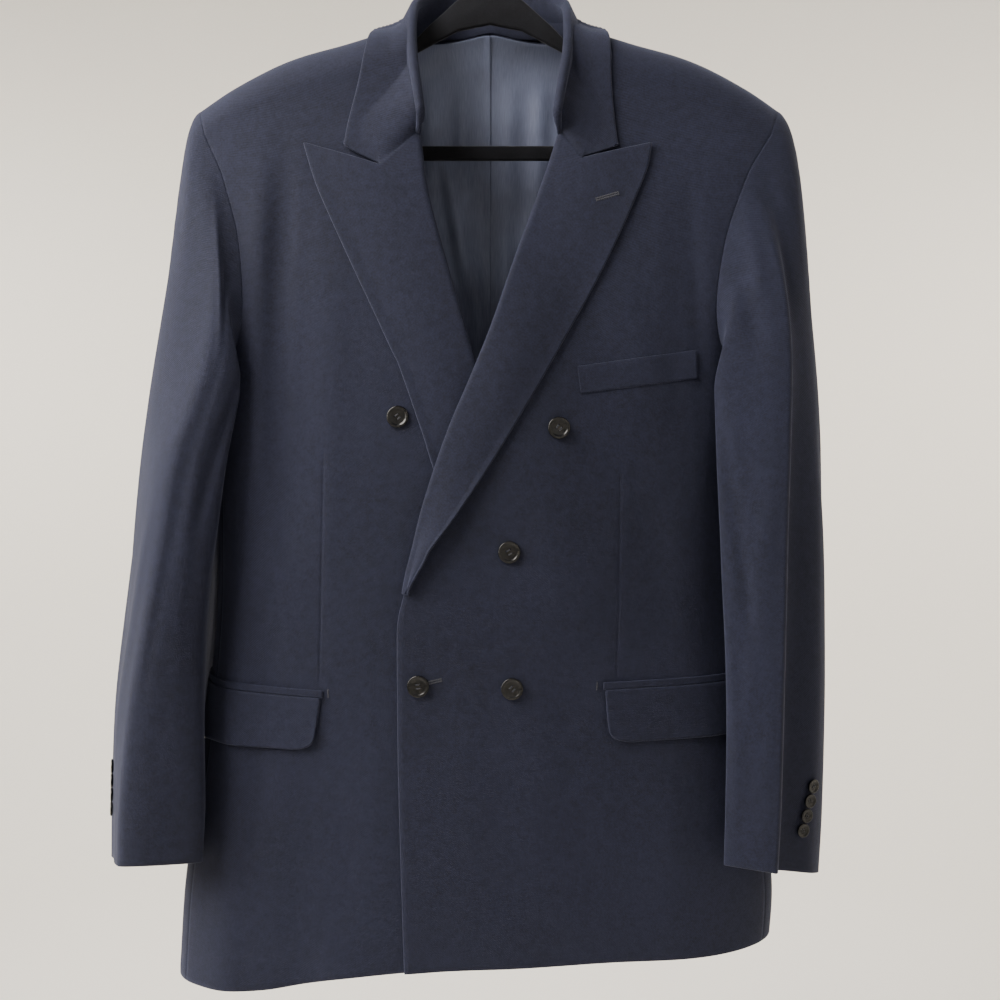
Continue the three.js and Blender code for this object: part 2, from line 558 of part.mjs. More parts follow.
function section(hand, z) {
  const at = (column) => sleeveColumns[hand][column](z);
  const rad = THREE.MathUtils.degToRad;
  const innerAngle = flankAngle(at("inner"), z);
  const backAngle = rad(at("rest"));
  const cornerAngle = innerAngle - rad(9);
  const rest = (angle) => flank(hand, angle, z, SLEEVE_GAP);
  const named = {
    rest: rest(lerp(cornerAngle, backAngle, 0.5)),
    corner: rest(cornerAngle),
    inner: point(at("inner"), at("front") + 11, z),
    front: point(lerp(at("inner"), at("crease"), 0.42), at("front"), z),
    crease: point(at("crease"), at("creaseY"), z),
    valley: point(at("valley"), at("valleyY"), z),
    seam: point(at("seam"), at("seamY"), z),
    outer: point(at("outer"), at("outerY"), z),
    back: point(at("back"), at("backY"), z),
    hind: rest(backAngle),
  };
  const corners = Object.keys(SECTION_STEPS).map((name) => named[name]);
  const steps = Object.values(SECTION_STEPS);
  const loop = [];
  corners.forEach((corner, k) => {
    const before = corners[(k + corners.length - 1) % corners.length];
    const next = corners[(k + 1) % corners.length];
    const after = corners[(k + 2) % corners.length];
    const curve = new THREE.CatmullRomCurve3([before, corner, next, after], false, "centripetal");
    for (let i = 0; i < steps[k]; i += 1) loop.push(curve.getPoint((1 + i / steps[k]) / 3));
  });
  loop.push(loop[0].clone());
  return loop;
}

function sleeveGrid(hand) {
  const ring = armholeRing(hand);
  const cuff = hand > 0 ? CUFF_LEFT : CUFF_RIGHT;
  const rows = [];
  const first = section(hand, SLEEVE_JOIN_Z);
  const second = section(hand, SLEEVE_JOIN_Z - 20);
  for (let row = 0; row <= CAP_ROWS; row += 1) {
    const t = row / CAP_ROWS;
    rows.push(ring.map(({ start, leave }, i) => {
      const reach = start.distanceTo(first[i]);
      const up = first[i].clone().sub(second[i]).normalize();
      const out = start.clone().addScaledVector(leave, Math.min(reach * 0.4, 26));
      const into = first[i].clone().addScaledVector(up, reach * 0.55);
      return new THREE.CubicBezierCurve3(start, out, into, first[i]).getPoint(t);
    }));
  }
  for (let row = 1; row <= SLEEVE_ROWS; row += 1) {
    const z = lerp(SLEEVE_JOIN_Z, -850, row / SLEEVE_ROWS);
    const tilt = smooth(z, -850 + CUFF_BLEND, -850);
    rows.push(section(hand, z).map((p) => {
      const cut = cuff.z - cuff.slopeY * (p.y - cuff.y) - hand * cuff.slopeX * (p.x - cuff.x);
      return point(p.x, p.y, z + (cut + 850) * tilt);
    }));
  }
  return { rows, ring };
}

// Vertex normals of a sleeve, taken on the whole tube so that both of its pieces agree
function tubeNormals(rows, hand) {
  return rows.map((row, i) => row.map((_, j) => {
    const left = row[(j + RING - 1) % RING];
    const right = row[(j + 1) % RING];
    const up = rows[Math.max(i - 1, 0)][j];
    const down = rows[Math.min(i + 1, rows.length - 1)][j];
    const across = right.clone().sub(left);
    const along = down.clone().sub(up);
    return across.cross(along).normalize().multiplyScalar(-hand);
  }));
}

// Top sleeve from the forearm seam over the top to the hind-arm seam; under sleeve the rest.
// The hind-arm seam climbs from beside the cuff buttons to the back of the armhole.
const FOREARM = 2;
const FRONT_STEPS = 8;       // columns from the forearm seam to the valley behind the crease
const TOP_STEPS = 4;         // columns from there to the hind-arm seam
const UNDER_STEPS = 10;      // columns from the hind-arm seam round to the forearm seam
const hindArm = (row) => lerp(16.5, 12.2, smooth(row, 0, CAP_ROWS + SLEEVE_ROWS - 3));
function sleevePieces(hand) {
  const { rows, ring } = sleeveGrid(hand);
  const normals = tubeNormals(rows, hand);
  normals[0] = ring.map(({ outward }) => outward);
  normals[1] = normals[1].map((normal, j) => normal.clone().add(ring[j].outward).normalize());
  const read = (row, column) => {
    const low = Math.floor(column + 1e-6);
    return row[low % RING].clone().lerp(row[(low + 1) % RING], column - low);
  };
  const topCut = (grid) => grid.map((row, i) => [
    ...range(FRONT_STEPS - 1, (_, k) => read(row, FOREARM + k)),
    ...range(TOP_STEPS, (t) => read(row, lerp(FOREARM + FRONT_STEPS, hindArm(i), t))),
  ]);
  const underCut = (grid) => grid.map((row, i) =>
    range(UNDER_STEPS, (t) => read(row, lerp(hindArm(i), RING + FOREARM, t))));
  const piece = (cut) => wall(trim(cut(rows), ["first", "last"], SEAM), cut(normals), CLOTH);
  return { top: piece(topCut), under: piece(underCut), rows, normals, read };
}

// Lapels: a hook behind the front's edge, the roll, and the face that lies on the front
const LAPEL_ROWS = 17;
const LAPEL_COLUMNS = 6;
const HOOK = [
  { along: 7, angle: -90 }, { along: 0, angle: -90 }, { along: 0, angle: -30 },
  { along: 0, angle: 30 },
];
function lapelPlaces(hand) {
  const edge = hand > 0 ? overlapEdge : underlapEdge;
  const outerEdge = spline(hand > 0 ? LAPEL_LEFT : LAPEL_RIGHT, "z", "x");
  const gorge = hand > 0 ? GORGE_LEFT : GORGE_RIGHT;
  const foot = BREAK_Z + 14;
  return range(LAPEL_ROWS, (t) => {
    const inner = point(edge(lerp(foot, GORGE_Z, t)) + hand * EDGE_INSET, lerp(foot, GORGE_Z, t), 0);
    const outerZ = lerp(foot, gorge[2].z, t);
    const outer = point(outerEdge(outerZ), outerZ, 0);
    if (Math.abs(outer.x - inner.x) < 8) outer.x = inner.x + hand * 8;
    const bend = smooth(t, 0.8, 1);
    return range(LAPEL_COLUMNS, (s) => {
      const straight = inner.clone().lerp(outer, s);
      const notch = 1 / 3;
      const bent = s <= notch
        ? point(lerp(gorge[0].x + hand * EDGE_INSET, gorge[1].x, s / notch),
          lerp(gorge[0].z, gorge[1].z, s / notch), 0)
        : point(lerp(gorge[1].x, gorge[2].x, (s - notch) / (1 - notch)),
          lerp(gorge[1].z, gorge[2].z, (s - notch) / (1 - notch)), 0);
      const top = point(gorge[0].x + hand * EDGE_INSET, gorge[0].z, 0)
        .lerp(point(gorge[2].x, gorge[2].z, 0), s);
      return straight.add(bent.sub(top).multiplyScalar(bend));
    });
  });
}

function lapel(hand) {
  const places = lapelPlaces(hand);
  const points = [];
  places.forEach((row, i) => {
    const edge = row[0];
    const next = places[Math.min(i + 1, places.length - 1)][0];
    const last = places[Math.max(i - 1, 0)][0];
    const tangent = next.clone().sub(last).normalize();
    const inward = point(hand * tangent.y, -hand * tangent.x, 0);
    const at = (x, z, height) => frontPoint(hand, x, dropAt(x, z), height);
    const line = HOOK.map(({ along, angle }) => {
      const rad = THREE.MathUtils.degToRad(angle);
      const away = along - ROLL_RADIUS * Math.cos(rad);
      const height = -CLOTH / 2 + ROLL_RADIUS * Math.sin(rad);
      return at(edge.x + inward.x * away, edge.y + inward.y * away, height);
    });
    row.forEach((place, j) => {
      const s = j / LAPEL_COLUMNS;
      const height = LAPEL_REST + 1.6 * Math.sin(Math.PI * Math.min(s * 1.15, 1)) + 0.5 * s;
      line.push(at(place.x, place.y, height));
    });
    points.push(line);
  });
  return wall(points, gridNormals(points, hand), CLOTH);
}

// Vertex normals of an open grid, flipped to point out of the cloth
function gridNormals(points, flip) {
  const rows = points.length;
  const columns = points[0].length;
  return points.map((row, i) => row.map((_, j) => {
    const across = row[Math.min(j + 1, columns - 1)].clone().sub(row[Math.max(j - 1, 0)]);
    const along = points[Math.min(i + 1, rows - 1)][j].clone().sub(points[Math.max(i - 1, 0)][j]);
    return across.cross(along).normalize().multiplyScalar(flip);
  }));
}

// Collar: stand up from the neck seam, roll, and fall down over the shoulders
const COLLAR_ROWS = 28;
const FALL_COLUMNS = 5;
const COLLAR_REST = 4.2;      // least height of the collar's outer face over the body
const COLLAR_ENDS = { 1: GORGE_LEFT, [-1]: GORGE_RIGHT };
const COLLAR_CORNER = { 1: { x: 112, z: -230 }, [-1]: { x: -127, z: -230 } };
const collarColumns = Object.fromEntries(Object.keys(COLLAR[0]).filter((key) => key !== "s")
  .map((column) => [column, spline(COLLAR, "s", column)]));

function collarRow(s) {
  const at = (column) => collarColumns[column](s);
  const foldAt = (place) => point(collarColumns.fx(place), collarColumns.fy(place),
    collarColumns.fz(place));
  const lift = (x, drop, height) =>
    (x > 0 ? frontPoint(1, x, drop, height) : over(x, drop, height));
  const fold = foldAt(s);
  const neckAt = (place) => shell(collarColumns.nx(place), collarColumns.nd(place));
  const neckWay = neckAt(Math.min(s + 0.1, 14)).sub(neckAt(Math.max(s - 0.1, 0))).normalize();
  const neckNormal = shellNormal(at("nx"), at("nd"));
  const seam = neckAt(s).addScaledVector(neckNormal, -1)
    .addScaledVector(neckWay.clone().cross(neckNormal).normalize(), CLOTH + 0.8);
  const edge = lift(at("ex"), at("ed"), 2.9);
  const tangent = foldAt(Math.min(s + 0.05, 14)).sub(foldAt(Math.max(s - 0.05, 0))).normalize();
  const fallDown = edge.clone().sub(fold).normalize();
  const outward = fallDown.clone().cross(tangent).normalize();
  const toEdge = fold.clone().addScaledVector(outward, 2.6).addScaledVector(fallDown, 3.4);
  const toSeam = fold.clone().addScaledVector(outward, -2.6).addScaledVector(fallDown, 3.4);
  const line = [seam, seam.clone().lerp(toSeam, 0.5), toSeam, fold];
  const end = Math.abs(s - 7) / 7;
  const side = s > 7 ? 1 : -1;
  const gorge = COLLAR_ENDS[side];
  const corner = COLLAR_CORNER[side];
  const bend = smooth(end, 0.86, 1);
  for (let j = 0; j <= FALL_COLUMNS; j += 1) {
    const t = j / FALL_COLUMNS;
    const control = toEdge.clone().lerp(edge, 0.45).addScaledVector(outward, at("bulge"));
    const fall = new THREE.QuadraticBezierCurve3(toEdge, control, edge).getPoint(t);
    if (bend > 0) {
      const notch = 0.6;
      const x = t <= notch ? lerp(gorge[0].x + side * EDGE_INSET, gorge[1].x, t / notch)
        : lerp(gorge[1].x, corner.x, (t - notch) / (1 - notch));
      const z = 2.4 + (t <= notch ? lerp(gorge[0].z, gorge[1].z, t / notch)
        : lerp(gorge[1].z, corner.z, (t - notch) / (1 - notch)));
      const low = lift(x, dropAt(x, z), 2.9 + 1.2 * Math.sin(Math.PI * t));
      fall.lerp(low, bend);
    }
    const face = fall.y < 0 ? 1 : -1;
    const drop = dropAt(fall.x, fall.z, face);
    const under = lift(fall.x, drop, 0);
    const normal = shellNormal(fall.x, drop);
    const height = fall.clone().sub(under).dot(normal);
    fall.addScaledVector(normal, Math.max(COLLAR_REST - height, 0));
    line.push(fall);
  }
  return line;
}

function collar() {
  const points = range(COLLAR_ROWS, (t) => collarRow(14 * t));
  return wall(points, gridNormals(points, -1), CLOTH);
}

// A piece that lies on a front: a grid between four corners on the body, moved out. It goes
// round the flank where its outer end does, by the angle from the side line.
function patch(hand, corners, height, thickness, columns, rows) {
  const [lowIn, lowOut, highOut, highIn] = corners.map((corner) => ({
    z: corner.z,
    angle: corner.angle === undefined
      ? flankAngle(corner.x, corner.z) : THREE.MathUtils.degToRad(corner.angle),
  }));
  const points = range(rows, (t) => range(columns, (s) => {
    const z = lerp(lerp(lowIn.z, lowOut.z, s), lerp(highIn.z, highOut.z, s), t);
    const angle = lerp(lerp(lowIn.angle, lowOut.angle, s), lerp(highIn.angle, highOut.angle, s), t);
    const base = flank(hand, angle, z);
    const lift = hand > 0 ? overlapLift(base.x, z) : 0;
    return flank(hand, angle, z, height + thickness + lift);
  }));
  return wall(points, gridNormals(points, hand), thickness);
}

// Lining of the back, inside it
const LINING_FOOT_ROW = 11;
const LINING_COLUMNS = 5;
function liningPiece(hand) {
  const places = backPlaces(hand).slice(LINING_FOOT_ROW)
    .map((row) => row.slice(0, LINING_COLUMNS + 1));
  const points = places.map((row) => row.map(({ x, drop }) => over(x, drop, -CLOTH - 0.6)));
  const normals = places.map((row) => row.map(({ x, drop }) => shellNormal(x, drop)));
  return wall(trim(points, ["first"]), normals, LINING);
}

// Button: a turned disc with a raised rim, made round its own axis and set on the cloth
function button(width) {
  const radius = width / 2;
  const outline = [
    [0, 0], [radius * 0.72, 0], [radius, 1], [radius, 2.4], [radius * 0.86, 3],
    [radius * 0.68, 2.1], [0, 2.1],
  ].map(([r, h]) => new THREE.Vector2(r, h));
  const turned = new THREE.LatheGeometry(outline, 14);
  turned.deleteAttribute("uv");
  turned.deleteAttribute("normal");
  const loose = turned.index ? turned.toNonIndexed() : turned;
  const list = [...loose.getAttribute("position").array];
  const kept = [];
  for (let i = 0; i < list.length; i += 9) {
    const [a, b, c] = [0, 3, 6].map((k) => point(list[i + k], list[i + k + 1], list[i + k + 2]));
    if (b.sub(a).cross(c.sub(a)).length() > 1e-6) kept.push(...list.slice(i, i + 9));
  }
  return solid(kept);
}

const MATERIALS = {
  cloth: new THREE.MeshStandardMaterial({ color: 0x2b2f3e, roughness: 0.9 }),
  lining: new THREE.MeshStandardMaterial({ color: 0x5a5d68, roughness: 0.45 }),
  button: new THREE.MeshStandardMaterial({ color: 0x121212, roughness: 0.25 }),
  velvet: new THREE.MeshStandardMaterial({ color: 0x0c0c0e, roughness: 1 }),
  steel: new THREE.MeshStandardMaterial({ color: 0xb9bcc0, roughness: 0.25, metalness: 1 }),
};

const jacket = new THREE.Group();
function add(name, geometry, material) {
  const mesh = new THREE.Mesh(geometry, MATERIALS[material].clone());
  mesh.name = name;
  jacket.add(mesh);
  return mesh;
}

const HANDS = [{ hand: -1, name: "right" }, { hand: 1, name: "left" }];
const sleeves = {};
for (const { hand, name } of HANDS) {
  add(`front_${name}`, panel(frontPlaces(hand), ({ x, drop }) => frontPoint(hand, x, drop),
    CLOTH, ["last", "top"]), "cloth");
  add(`side_${name}`, sideBody(hand), "cloth");
  add(`back_${name}`, panel(backPlaces(hand), ({ x, drop }) => over(x, drop, 0),
    CLOTH, ["first", "last", "top"]), "cloth");
  sleeves[hand] = sleevePieces(hand);
  add(`top_sleeve_${name}`, sleeves[hand].top, "cloth");
  add(`under_sleeve_${name}`, sleeves[hand].under, "cloth");
  add(`lapel_${name}`, lapel(hand), "cloth");
  add(`back_lining_${name}`, liningPiece(hand), "lining");
}
add("collar", collar(), "cloth");

// Pockets: corners are low inner, low outer, high outer, high inner
const POCKETS = {
  flap_right: { hand: -1, height: 0.7, thickness: 2.2, columns: 9, rows: 3, corners: [
    { x: -149, z: -751 }, { angle: 8, z: -746 }, { angle: 8, z: -697 }, { x: -144, z: -707 }] },
  jet_right: { hand: -1, height: 0.7, thickness: 1.6, columns: 9, rows: 1, corners: [
    { x: -142, z: -706 }, { angle: 8, z: -696 }, { angle: 8, z: -691 }, { x: -142, z: -701 }] },
  flap_left: { hand: 1, height: 0.7, thickness: 2.2, columns: 9, rows: 3, corners: [
    { x: 101, z: -743 }, { angle: 8, z: -738 }, { angle: 8, z: -693 }, { x: 98, z: -699 }] },
  jet_left: { hand: 1, height: 0.7, thickness: 1.6, columns: 9, rows: 1, corners: [
    { x: 96, z: -698 }, { angle: 8, z: -692 }, { angle: 8, z: -687 }, { x: 96, z: -693 }] },
  breast_welt: { hand: 1, height: 0.8, thickness: 2, columns: 7, rows: 2, corners: [
    { x: 77, z: -446 }, { x: 180, z: -431 }, { x: 179, z: -407 }, { x: 75, z: -423 }] },
};
for (const [name, { hand, corners, height, thickness, columns, rows }] of Object.entries(POCKETS)) {
  add(name, patch(hand, corners, height, thickness, columns, rows), "cloth");
}

// Buttons, set square on the cloth under them
function place(mesh, at, normal, gap) {
  mesh.position.copy(at).addScaledVector(normal, gap);
  mesh.quaternion.setFromUnitVectors(point(0, 1, 0), normal);
}
const FRONT_BUTTONS = [
  { name: "button_top_right", hand: -1, x: -78, z: -466, gap: 0.5 },
  { name: "button_top_left", hand: 1, x: 59, z: -476, gap: 1.2 },
  { name: "button_middle_left", hand: 1, x: 17, z: -581, gap: 0.5 },
  { name: "button_fastened_right", hand: 1, x: -60, z: -695, gap: 0.8 },
  { name: "button_fastened_left", hand: 1, x: 19.5, z: -697, gap: 0.8 },
];
for (const { name, hand, x, z, gap } of FRONT_BUTTONS) {
  const mesh = add(name, button(FRONT_BUTTON), "button");
  const drop = dropAt(x, z);
  place(mesh, frontPoint(hand, x, drop), shellNormal(x, drop), gap);
}
const CUFF_BUTTON_ROWS = 4;
const CUFF_BUTTON_STEP = 12.6;
const CUFF_BUTTON_LINE = {
  1: { foot: -826, column: 10.3, lean: 0.12 }, [-1]: { foot: -810, column: 11, lean: 0 },
};
for (const { hand, name } of HANDS) {
  const { rows, normals, read } = sleeves[hand];
  for (let i = 0; i < CUFF_BUTTON_ROWS; i += 1) {
    const { foot, column, lean } = CUFF_BUTTON_LINE[hand];
    const z = foot + i * CUFF_BUTTON_STEP;
    const line = rows.map((row) => read(row, column + lean * i));
    const turns = normals.map((row) => read(row, column + lean * i));
    const low = line.findIndex((p) => p.z < z);
    const t = (z - line[low].z) / (line[low - 1].z - line[low].z);
    const at = line[low].clone().lerp(line[low - 1], t);
    const normal = turns[low].clone().lerp(turns[low - 1], t).normalize();
    const mesh = add(`cuff_button_${name}_${i + 1}`, button(CUFF_BUTTON - 1.6), "button");
    place(mesh, at, normal, 0.9);
  }
}

// Hanger: a flat board with sloping arms that carry the shoulders, and a trouser bar
const HANGER = { thick: 5, clear: 8, neckClear: 14, neckTop: -62, neckHalf: 9 };
function hanger() {
  const underCloth = (x) => ridge(x) - lerp(HANGER.neckClear, HANGER.clear, smooth(x, 84, 112));
  const armTop = (x) => lerp(-62, -99, smooth(x, 9, 69)) - Math.max(x - 69, 0) * 0.376;
  const reachTop = (x) => lerp(armTop(x), Math.min(armTop(x), underCloth(x)), smooth(x, 50, 74));
  const top = [];
  for (let x = HANGER.neckHalf; x <= 210; x += 12) top.push([x, reachTop(x)]);
  const end = [[217, -163], [221, -169], [219, -177], [212, -188], [205, -203], [196, -216],
    [180, -221.5]];
  const hole = [[0, -95], [30, -101], [69, -122], [82, -131], [110, -143], [160, -156], [200, -166],
    [205, -173], [198, -190], [190, -203], [176, -208], [0, -208.5]];
  const shape = new THREE.Shape();
  const outer = [...top, ...end];
  shape.moveTo(-HANGER.neckHalf, HANGER.neckTop);
  outer.forEach(([x, z]) => shape.lineTo(x, z));
  [...outer].reverse().slice(0, -1).forEach(([x, z]) => shape.lineTo(-x, z));
  const gap = new THREE.Path();
  gap.moveTo(...hole[0]);
  hole.slice(1).forEach(([x, z]) => gap.lineTo(-x, z));
  [...hole].reverse().slice(1, -1).forEach(([x, z]) => gap.lineTo(x, z));
  shape.holes.push(gap);
  const board = new THREE.ExtrudeGeometry(shape, { depth: HANGER.thick, bevelEnabled: false });
  board.rotateX(Math.PI / 2);
  board.translate(0, HANGER.thick / 2, 0);
  return board;
}

// Hook: a wire up from the hanger's neck, round over the origin and down to its tip
const HOOK_WIRE = { radius: 1.9, bend: 18.9 };
function hangerHook() {
  const middle = -17;
  const path = [point(0, 0, HANGER.neckTop + 0.3), point(0, 0, -50), point(-3, 0, -41)];
  for (let angle = 225; angle >= -35; angle -= 13) {
    const rad = THREE.MathUtils.degToRad(angle);
    path.push(point(HOOK_WIRE.bend * Math.cos(rad), 0, middle + HOOK_WIRE.bend * Math.sin(rad)));
  }
  const curve = new THREE.CatmullRomCurve3(path);
  const ring = new THREE.Shape();
  ring.absarc(0, 0, HOOK_WIRE.radius, 0, Math.PI * 2);
  return new THREE.ExtrudeGeometry(ring, { steps: 34, extrudePath: curve, curveSegments: 4 });
}
add("hanger", hanger(), "velvet");
add("hanger_hook", hangerHook(), "steel");

export default jacket;
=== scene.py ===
# A double breasted blazer hanging on a flat velvet hanger: the looks, built over the solids.
# The geometry is worked out in millimetres in the same frame as the solids, and every piece
# is turned to metres when its mesh is made. "Right" and "left" are the wearer's.
import math
import bpy
import bmesh
import numpy as np
from mathutils import Matrix, Vector


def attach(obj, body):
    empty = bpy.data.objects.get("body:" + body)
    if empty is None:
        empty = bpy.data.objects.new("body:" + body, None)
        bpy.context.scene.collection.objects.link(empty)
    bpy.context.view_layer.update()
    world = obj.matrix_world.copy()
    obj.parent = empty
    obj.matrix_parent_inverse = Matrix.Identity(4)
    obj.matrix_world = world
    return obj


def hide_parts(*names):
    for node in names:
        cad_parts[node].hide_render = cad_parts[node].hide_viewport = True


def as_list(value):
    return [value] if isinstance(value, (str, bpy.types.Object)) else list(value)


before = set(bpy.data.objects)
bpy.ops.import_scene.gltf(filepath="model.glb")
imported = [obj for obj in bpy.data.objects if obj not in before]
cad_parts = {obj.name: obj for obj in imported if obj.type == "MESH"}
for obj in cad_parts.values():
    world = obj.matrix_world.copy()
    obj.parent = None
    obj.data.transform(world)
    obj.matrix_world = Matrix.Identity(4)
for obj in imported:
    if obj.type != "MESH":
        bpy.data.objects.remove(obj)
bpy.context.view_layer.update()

CLOTH = 2.0            # wall of a panel of suiting
LINING = 1.0           # wall of the lining
SEAM = 0.3             # space between two sewn pieces
ARCH = 45.0            # height over which a shoulder rounds
SIDE_SEAM = 0.95       # where the side panel meets front and back, as a share of the half width
UNDERARM_Z, NOTCH_Z, SHOULDER_Z = -434.0, -424.0, -184.0
NECK_X = 86.0          # neck point, to the side of the middle
NECK_EASE = 12.0       # rounds the ridge at the centre of the back
NECK_POINT_Z = -119.0  # top of the front edge, at the neck
FRONT_HEM_Z, SIDE_HEM_Z = -941.0, -950.0
GORGE_Z, BREAK_Z = -217.0, -630.0
ROLL_RADIUS, LAPEL_REST, EDGE_INSET = 4.4, 3.4, 5.0
SLEEVE_JOIN_Z, SLEEVE_GAP, CUFF_Z = -450.0, 7.0, -850.0
COLLAR_REST = 4.2
# Rows of the cut from the hem up to the underarm, and on to the shoulder; steps of the armhole
BODY_ROWS, ARMHOLE_ROWS, SIDE_COLUMNS, CAP_ROWS, SLEEVE_ROWS = 14, 8, 6, 7, 10
TOTAL_ROWS = BODY_ROWS + ARMHOLE_ROWS
HELD_ROW = TOTAL_ROWS - 1.0
RING_HALF = SIDE_COLUMNS // 2 + ARMHOLE_ROWS
RING = 2 * RING_HALF
NECK_COLUMNS, BACK_COLUMNS = 4.0, 11.0
NEVER_LEVEL = 0.9995   # keeps a place just inside the widest point of a section


def table(columns, *rows):
    return {name: np.array([row[i] for row in rows], float)
            for i, name in enumerate(columns.split())}


BODY = table("z half centre front back side square",
    (-60, 312, 0, 46, 44, 0, 4), (-184, 308, 0, 48, 46, 0, 4), (-250, 294, -4, 58, 48, 1, 3.9),
    (-361, 262, -8, 73, 49, 3, 3.5), (-430, 247, -9, 78, 47, 3, 3.1),
    (-600, 240, -10, 80, 44, 3, 2.8), (-720, 248, -10, 80, 44, 3, 2.8),
    (-880, 269, -10, 79, 44, 3, 2.9), (-960, 269, -15, 78, 44, 3, 3),)
RIDGE = table("x z",
    (0, -66), (45, -82), (86, -106), (104, -110), (134, -119), (170, -129), (197, -139.5),
    (232, -158), (258, -175), (272, -185), (300, -215),)
HEM = table("x front back",
    (-284, -966, -966), (-200, -961, -946), (-130, -948, -932), (-50, -939, -923),
    (20, -936, -921), (110, -933, -924), (190, -933, -928), (256, -929, -929),)
ARMHOLE = table("z front back",
    (-184, 270, 270), (-212, 252, 258), (-228, 243, 251), (-247, 233, 243), (-266, 226, 237),
    (-302, 214.5, 228), (-332, 209, 222), (-361, 206, 218), (-385, 207, 216), (-406, 214, 221),
    (-424, 235.6, 235.6),)
NECK = table("x drop",
    (0, -42), (30, -41), (52, -34), (68, -20), (79, -4), (86, 13),)
SHOULDER_SEAM = table("x drop",
    (86, 13), (176, 1), (272, -5),)
OVERLAP_EDGE = table("z x",
    (-119, 86), (-135, 81), (-160, 75), (-190, 66), (-217, 59), (-270, 42), (-330, 21),
    (-390, 1), (-430, -15), (-480, -36), (-540, -56), (-580, -66), (-610, -73), (-640, -76.5),
    (-740, -77), (-830, -75), (-941, -71.5),)
UNDERLAP_EDGE = table("z x",
    (-119, -86), (-135, -81), (-160, -75), (-190, -67), (-217, -60), (-270, -52), (-330, -36),
    (-390, -19), (-430, -7), (-520, 17), (-600, 38), (-640, 42), (-740, 32), (-941, 3),)
LAPEL_LEFT = table("z x",
    (-225, 141.5), (-246, 137.5), (-268, 129), (-305, 113), (-350, 91), (-390, 69), (-440, 41),
    (-500, 5), (-550, -28), (-590, -57), (-630, -75),)
LAPEL_RIGHT = table("z x",
    (-225, -162), (-262, -150), (-290, -138), (-327, -121), (-380, -96), (-410, -82),
    (-420, -77), (-480, -56), (-520, -42), (-570, -8), (-610, 24), (-630, 38),)
GORGE_LEFT = table("x z",
    (59, -217), (82, -240), (144, -225),)
GORGE_RIGHT = table("x z",
    (-60, -217), (-96, -246), (-162, -225),)
COLLAR = table("s fx fy fz nx nd ex ed bulge",
    (0, -56, -71, -212, -60, 155, -127, 142.5, 2), (1, -60, -66, -181, -67, 122, -123, 116, 5),
    (2, -65, -54, -144, -74.5, 85.5, -115, 84, 8), (3, -67, -34, -106, -82, 53, -109, 54, 9),
    (4, -65, -6, -77, -84.5, 10, -103, 12, 8), (5, -48, 24, -57, -66, -22, -83, -36, 7),
    (6, -22, 38, -49, -31, -41, -45, -54, 5), (7, 0, 41, -47, 0, -42, 0, -58, 5),
    (8, 22, 38, -49, 31, -41, 45, -54, 5), (9, 48, 24, -57, 66, -22, 83, -36, 7),
    (10, 66, -6, -77, 84.5, 10, 103, 12, 8), (11, 68, -34, -106, 82, 53, 106, 54, 9),
    (12, 66, -54, -142, 74.5, 85.5, 106.5, 84, 8), (13, 60, -66, -181, 66, 122, 109, 118, 5),
    (14, 55, -71, -212, 59, 155, 112, 145.5, 2),)
SLEEVE_COLUMNS = ("z inner front crease creaseY valley valleyY seam seamY outer outerY "
                  "back backY rest")
SLEEVE_RIGHT = table(SLEEVE_COLUMNS,
    (-450, -214, -84, -246, -86, -262, -79, -298, -46, -312.5, -10, -298, 34, -30),
    (-500, -224, -86, -262, -89, -278, -81, -305, -46, -319.5, -10, -304, 31, -26),
    (-560, -233, -87, -272, -90, -288, -81, -312, -46, -325.5, -11, -308, 27, -22),
    (-640, -244, -88, -285, -91, -299, -81, -320, -46, -333, -12, -314, 22, -16),
    (-720, -245.5, -88, -298, -90, -311, -79, -329, -46, -341, -12, -320, 18, -10),
    (-800, -243.5, -87, -307, -88, -318, -76, -332, -45, -344.5, -12, -324, 14, -4),
    (-850, -246, -85, -310, -86, -320, -74, -333, -44, -345, -12, -325, 12, -2),)
SLEEVE_LEFT = table(SLEEVE_COLUMNS,
    (-450, 192, -88, 252, -92, 259, -70, 290, -42, 300, -10, 284, 34, -30),
    (-500, 193.5, -91, 249.5, -96, 257, -70, 292, -43, 302, -12, 285, 31, -26),
    (-560, 196, -93, 247, -98, 255, -69, 293, -44, 304, -14, 285, 27, -22),
    (-640, 200, -94, 245, -99, 253, -69, 293, -45, 304, -16, 285, 22, -16),
    (-720, 201.5, -94, 243, -99, 251, -68, 292, -46, 303.5, -18, 284, 18, -10),
    (-800, 200.5, -93, 241, -98, 248, -67, 288, -46, 301, -20, 281, 14, -4),
    (-850, 199.5, -91, 239, -96, 246, -65, 285, -45, 298, -20, 279, 12, -2),)
FOLDS = table("face x lean top foot width depth",
    (1, -172, -6, -200, -620, 17, -4), (1, -199, -4, -220, -560, 14, 3),
    (1, 158, 8, -230, -560, 18, -3), (1, -225, -8, -600, -980, 20, 3),
    (1, -150, -16, -700, -990, 26, -3), (-1, -120, -10, -260, -940, 30, -4),
    (-1, 135, 12, -300, -940, 34, -4), (-1, -40, 4, -560, -940, 26, 3),)
RING_TURN = table("i turn",
    (0, 180), (1, 175), (2, 150), (3, 115), (4, 88), (5, 62), (6, 40), (7, 26), (8, 16), (9, 8),
    (11, 2), (13, 8), (15, 18), (17, 50), (19, 110), (20, 150), (22, 180),)
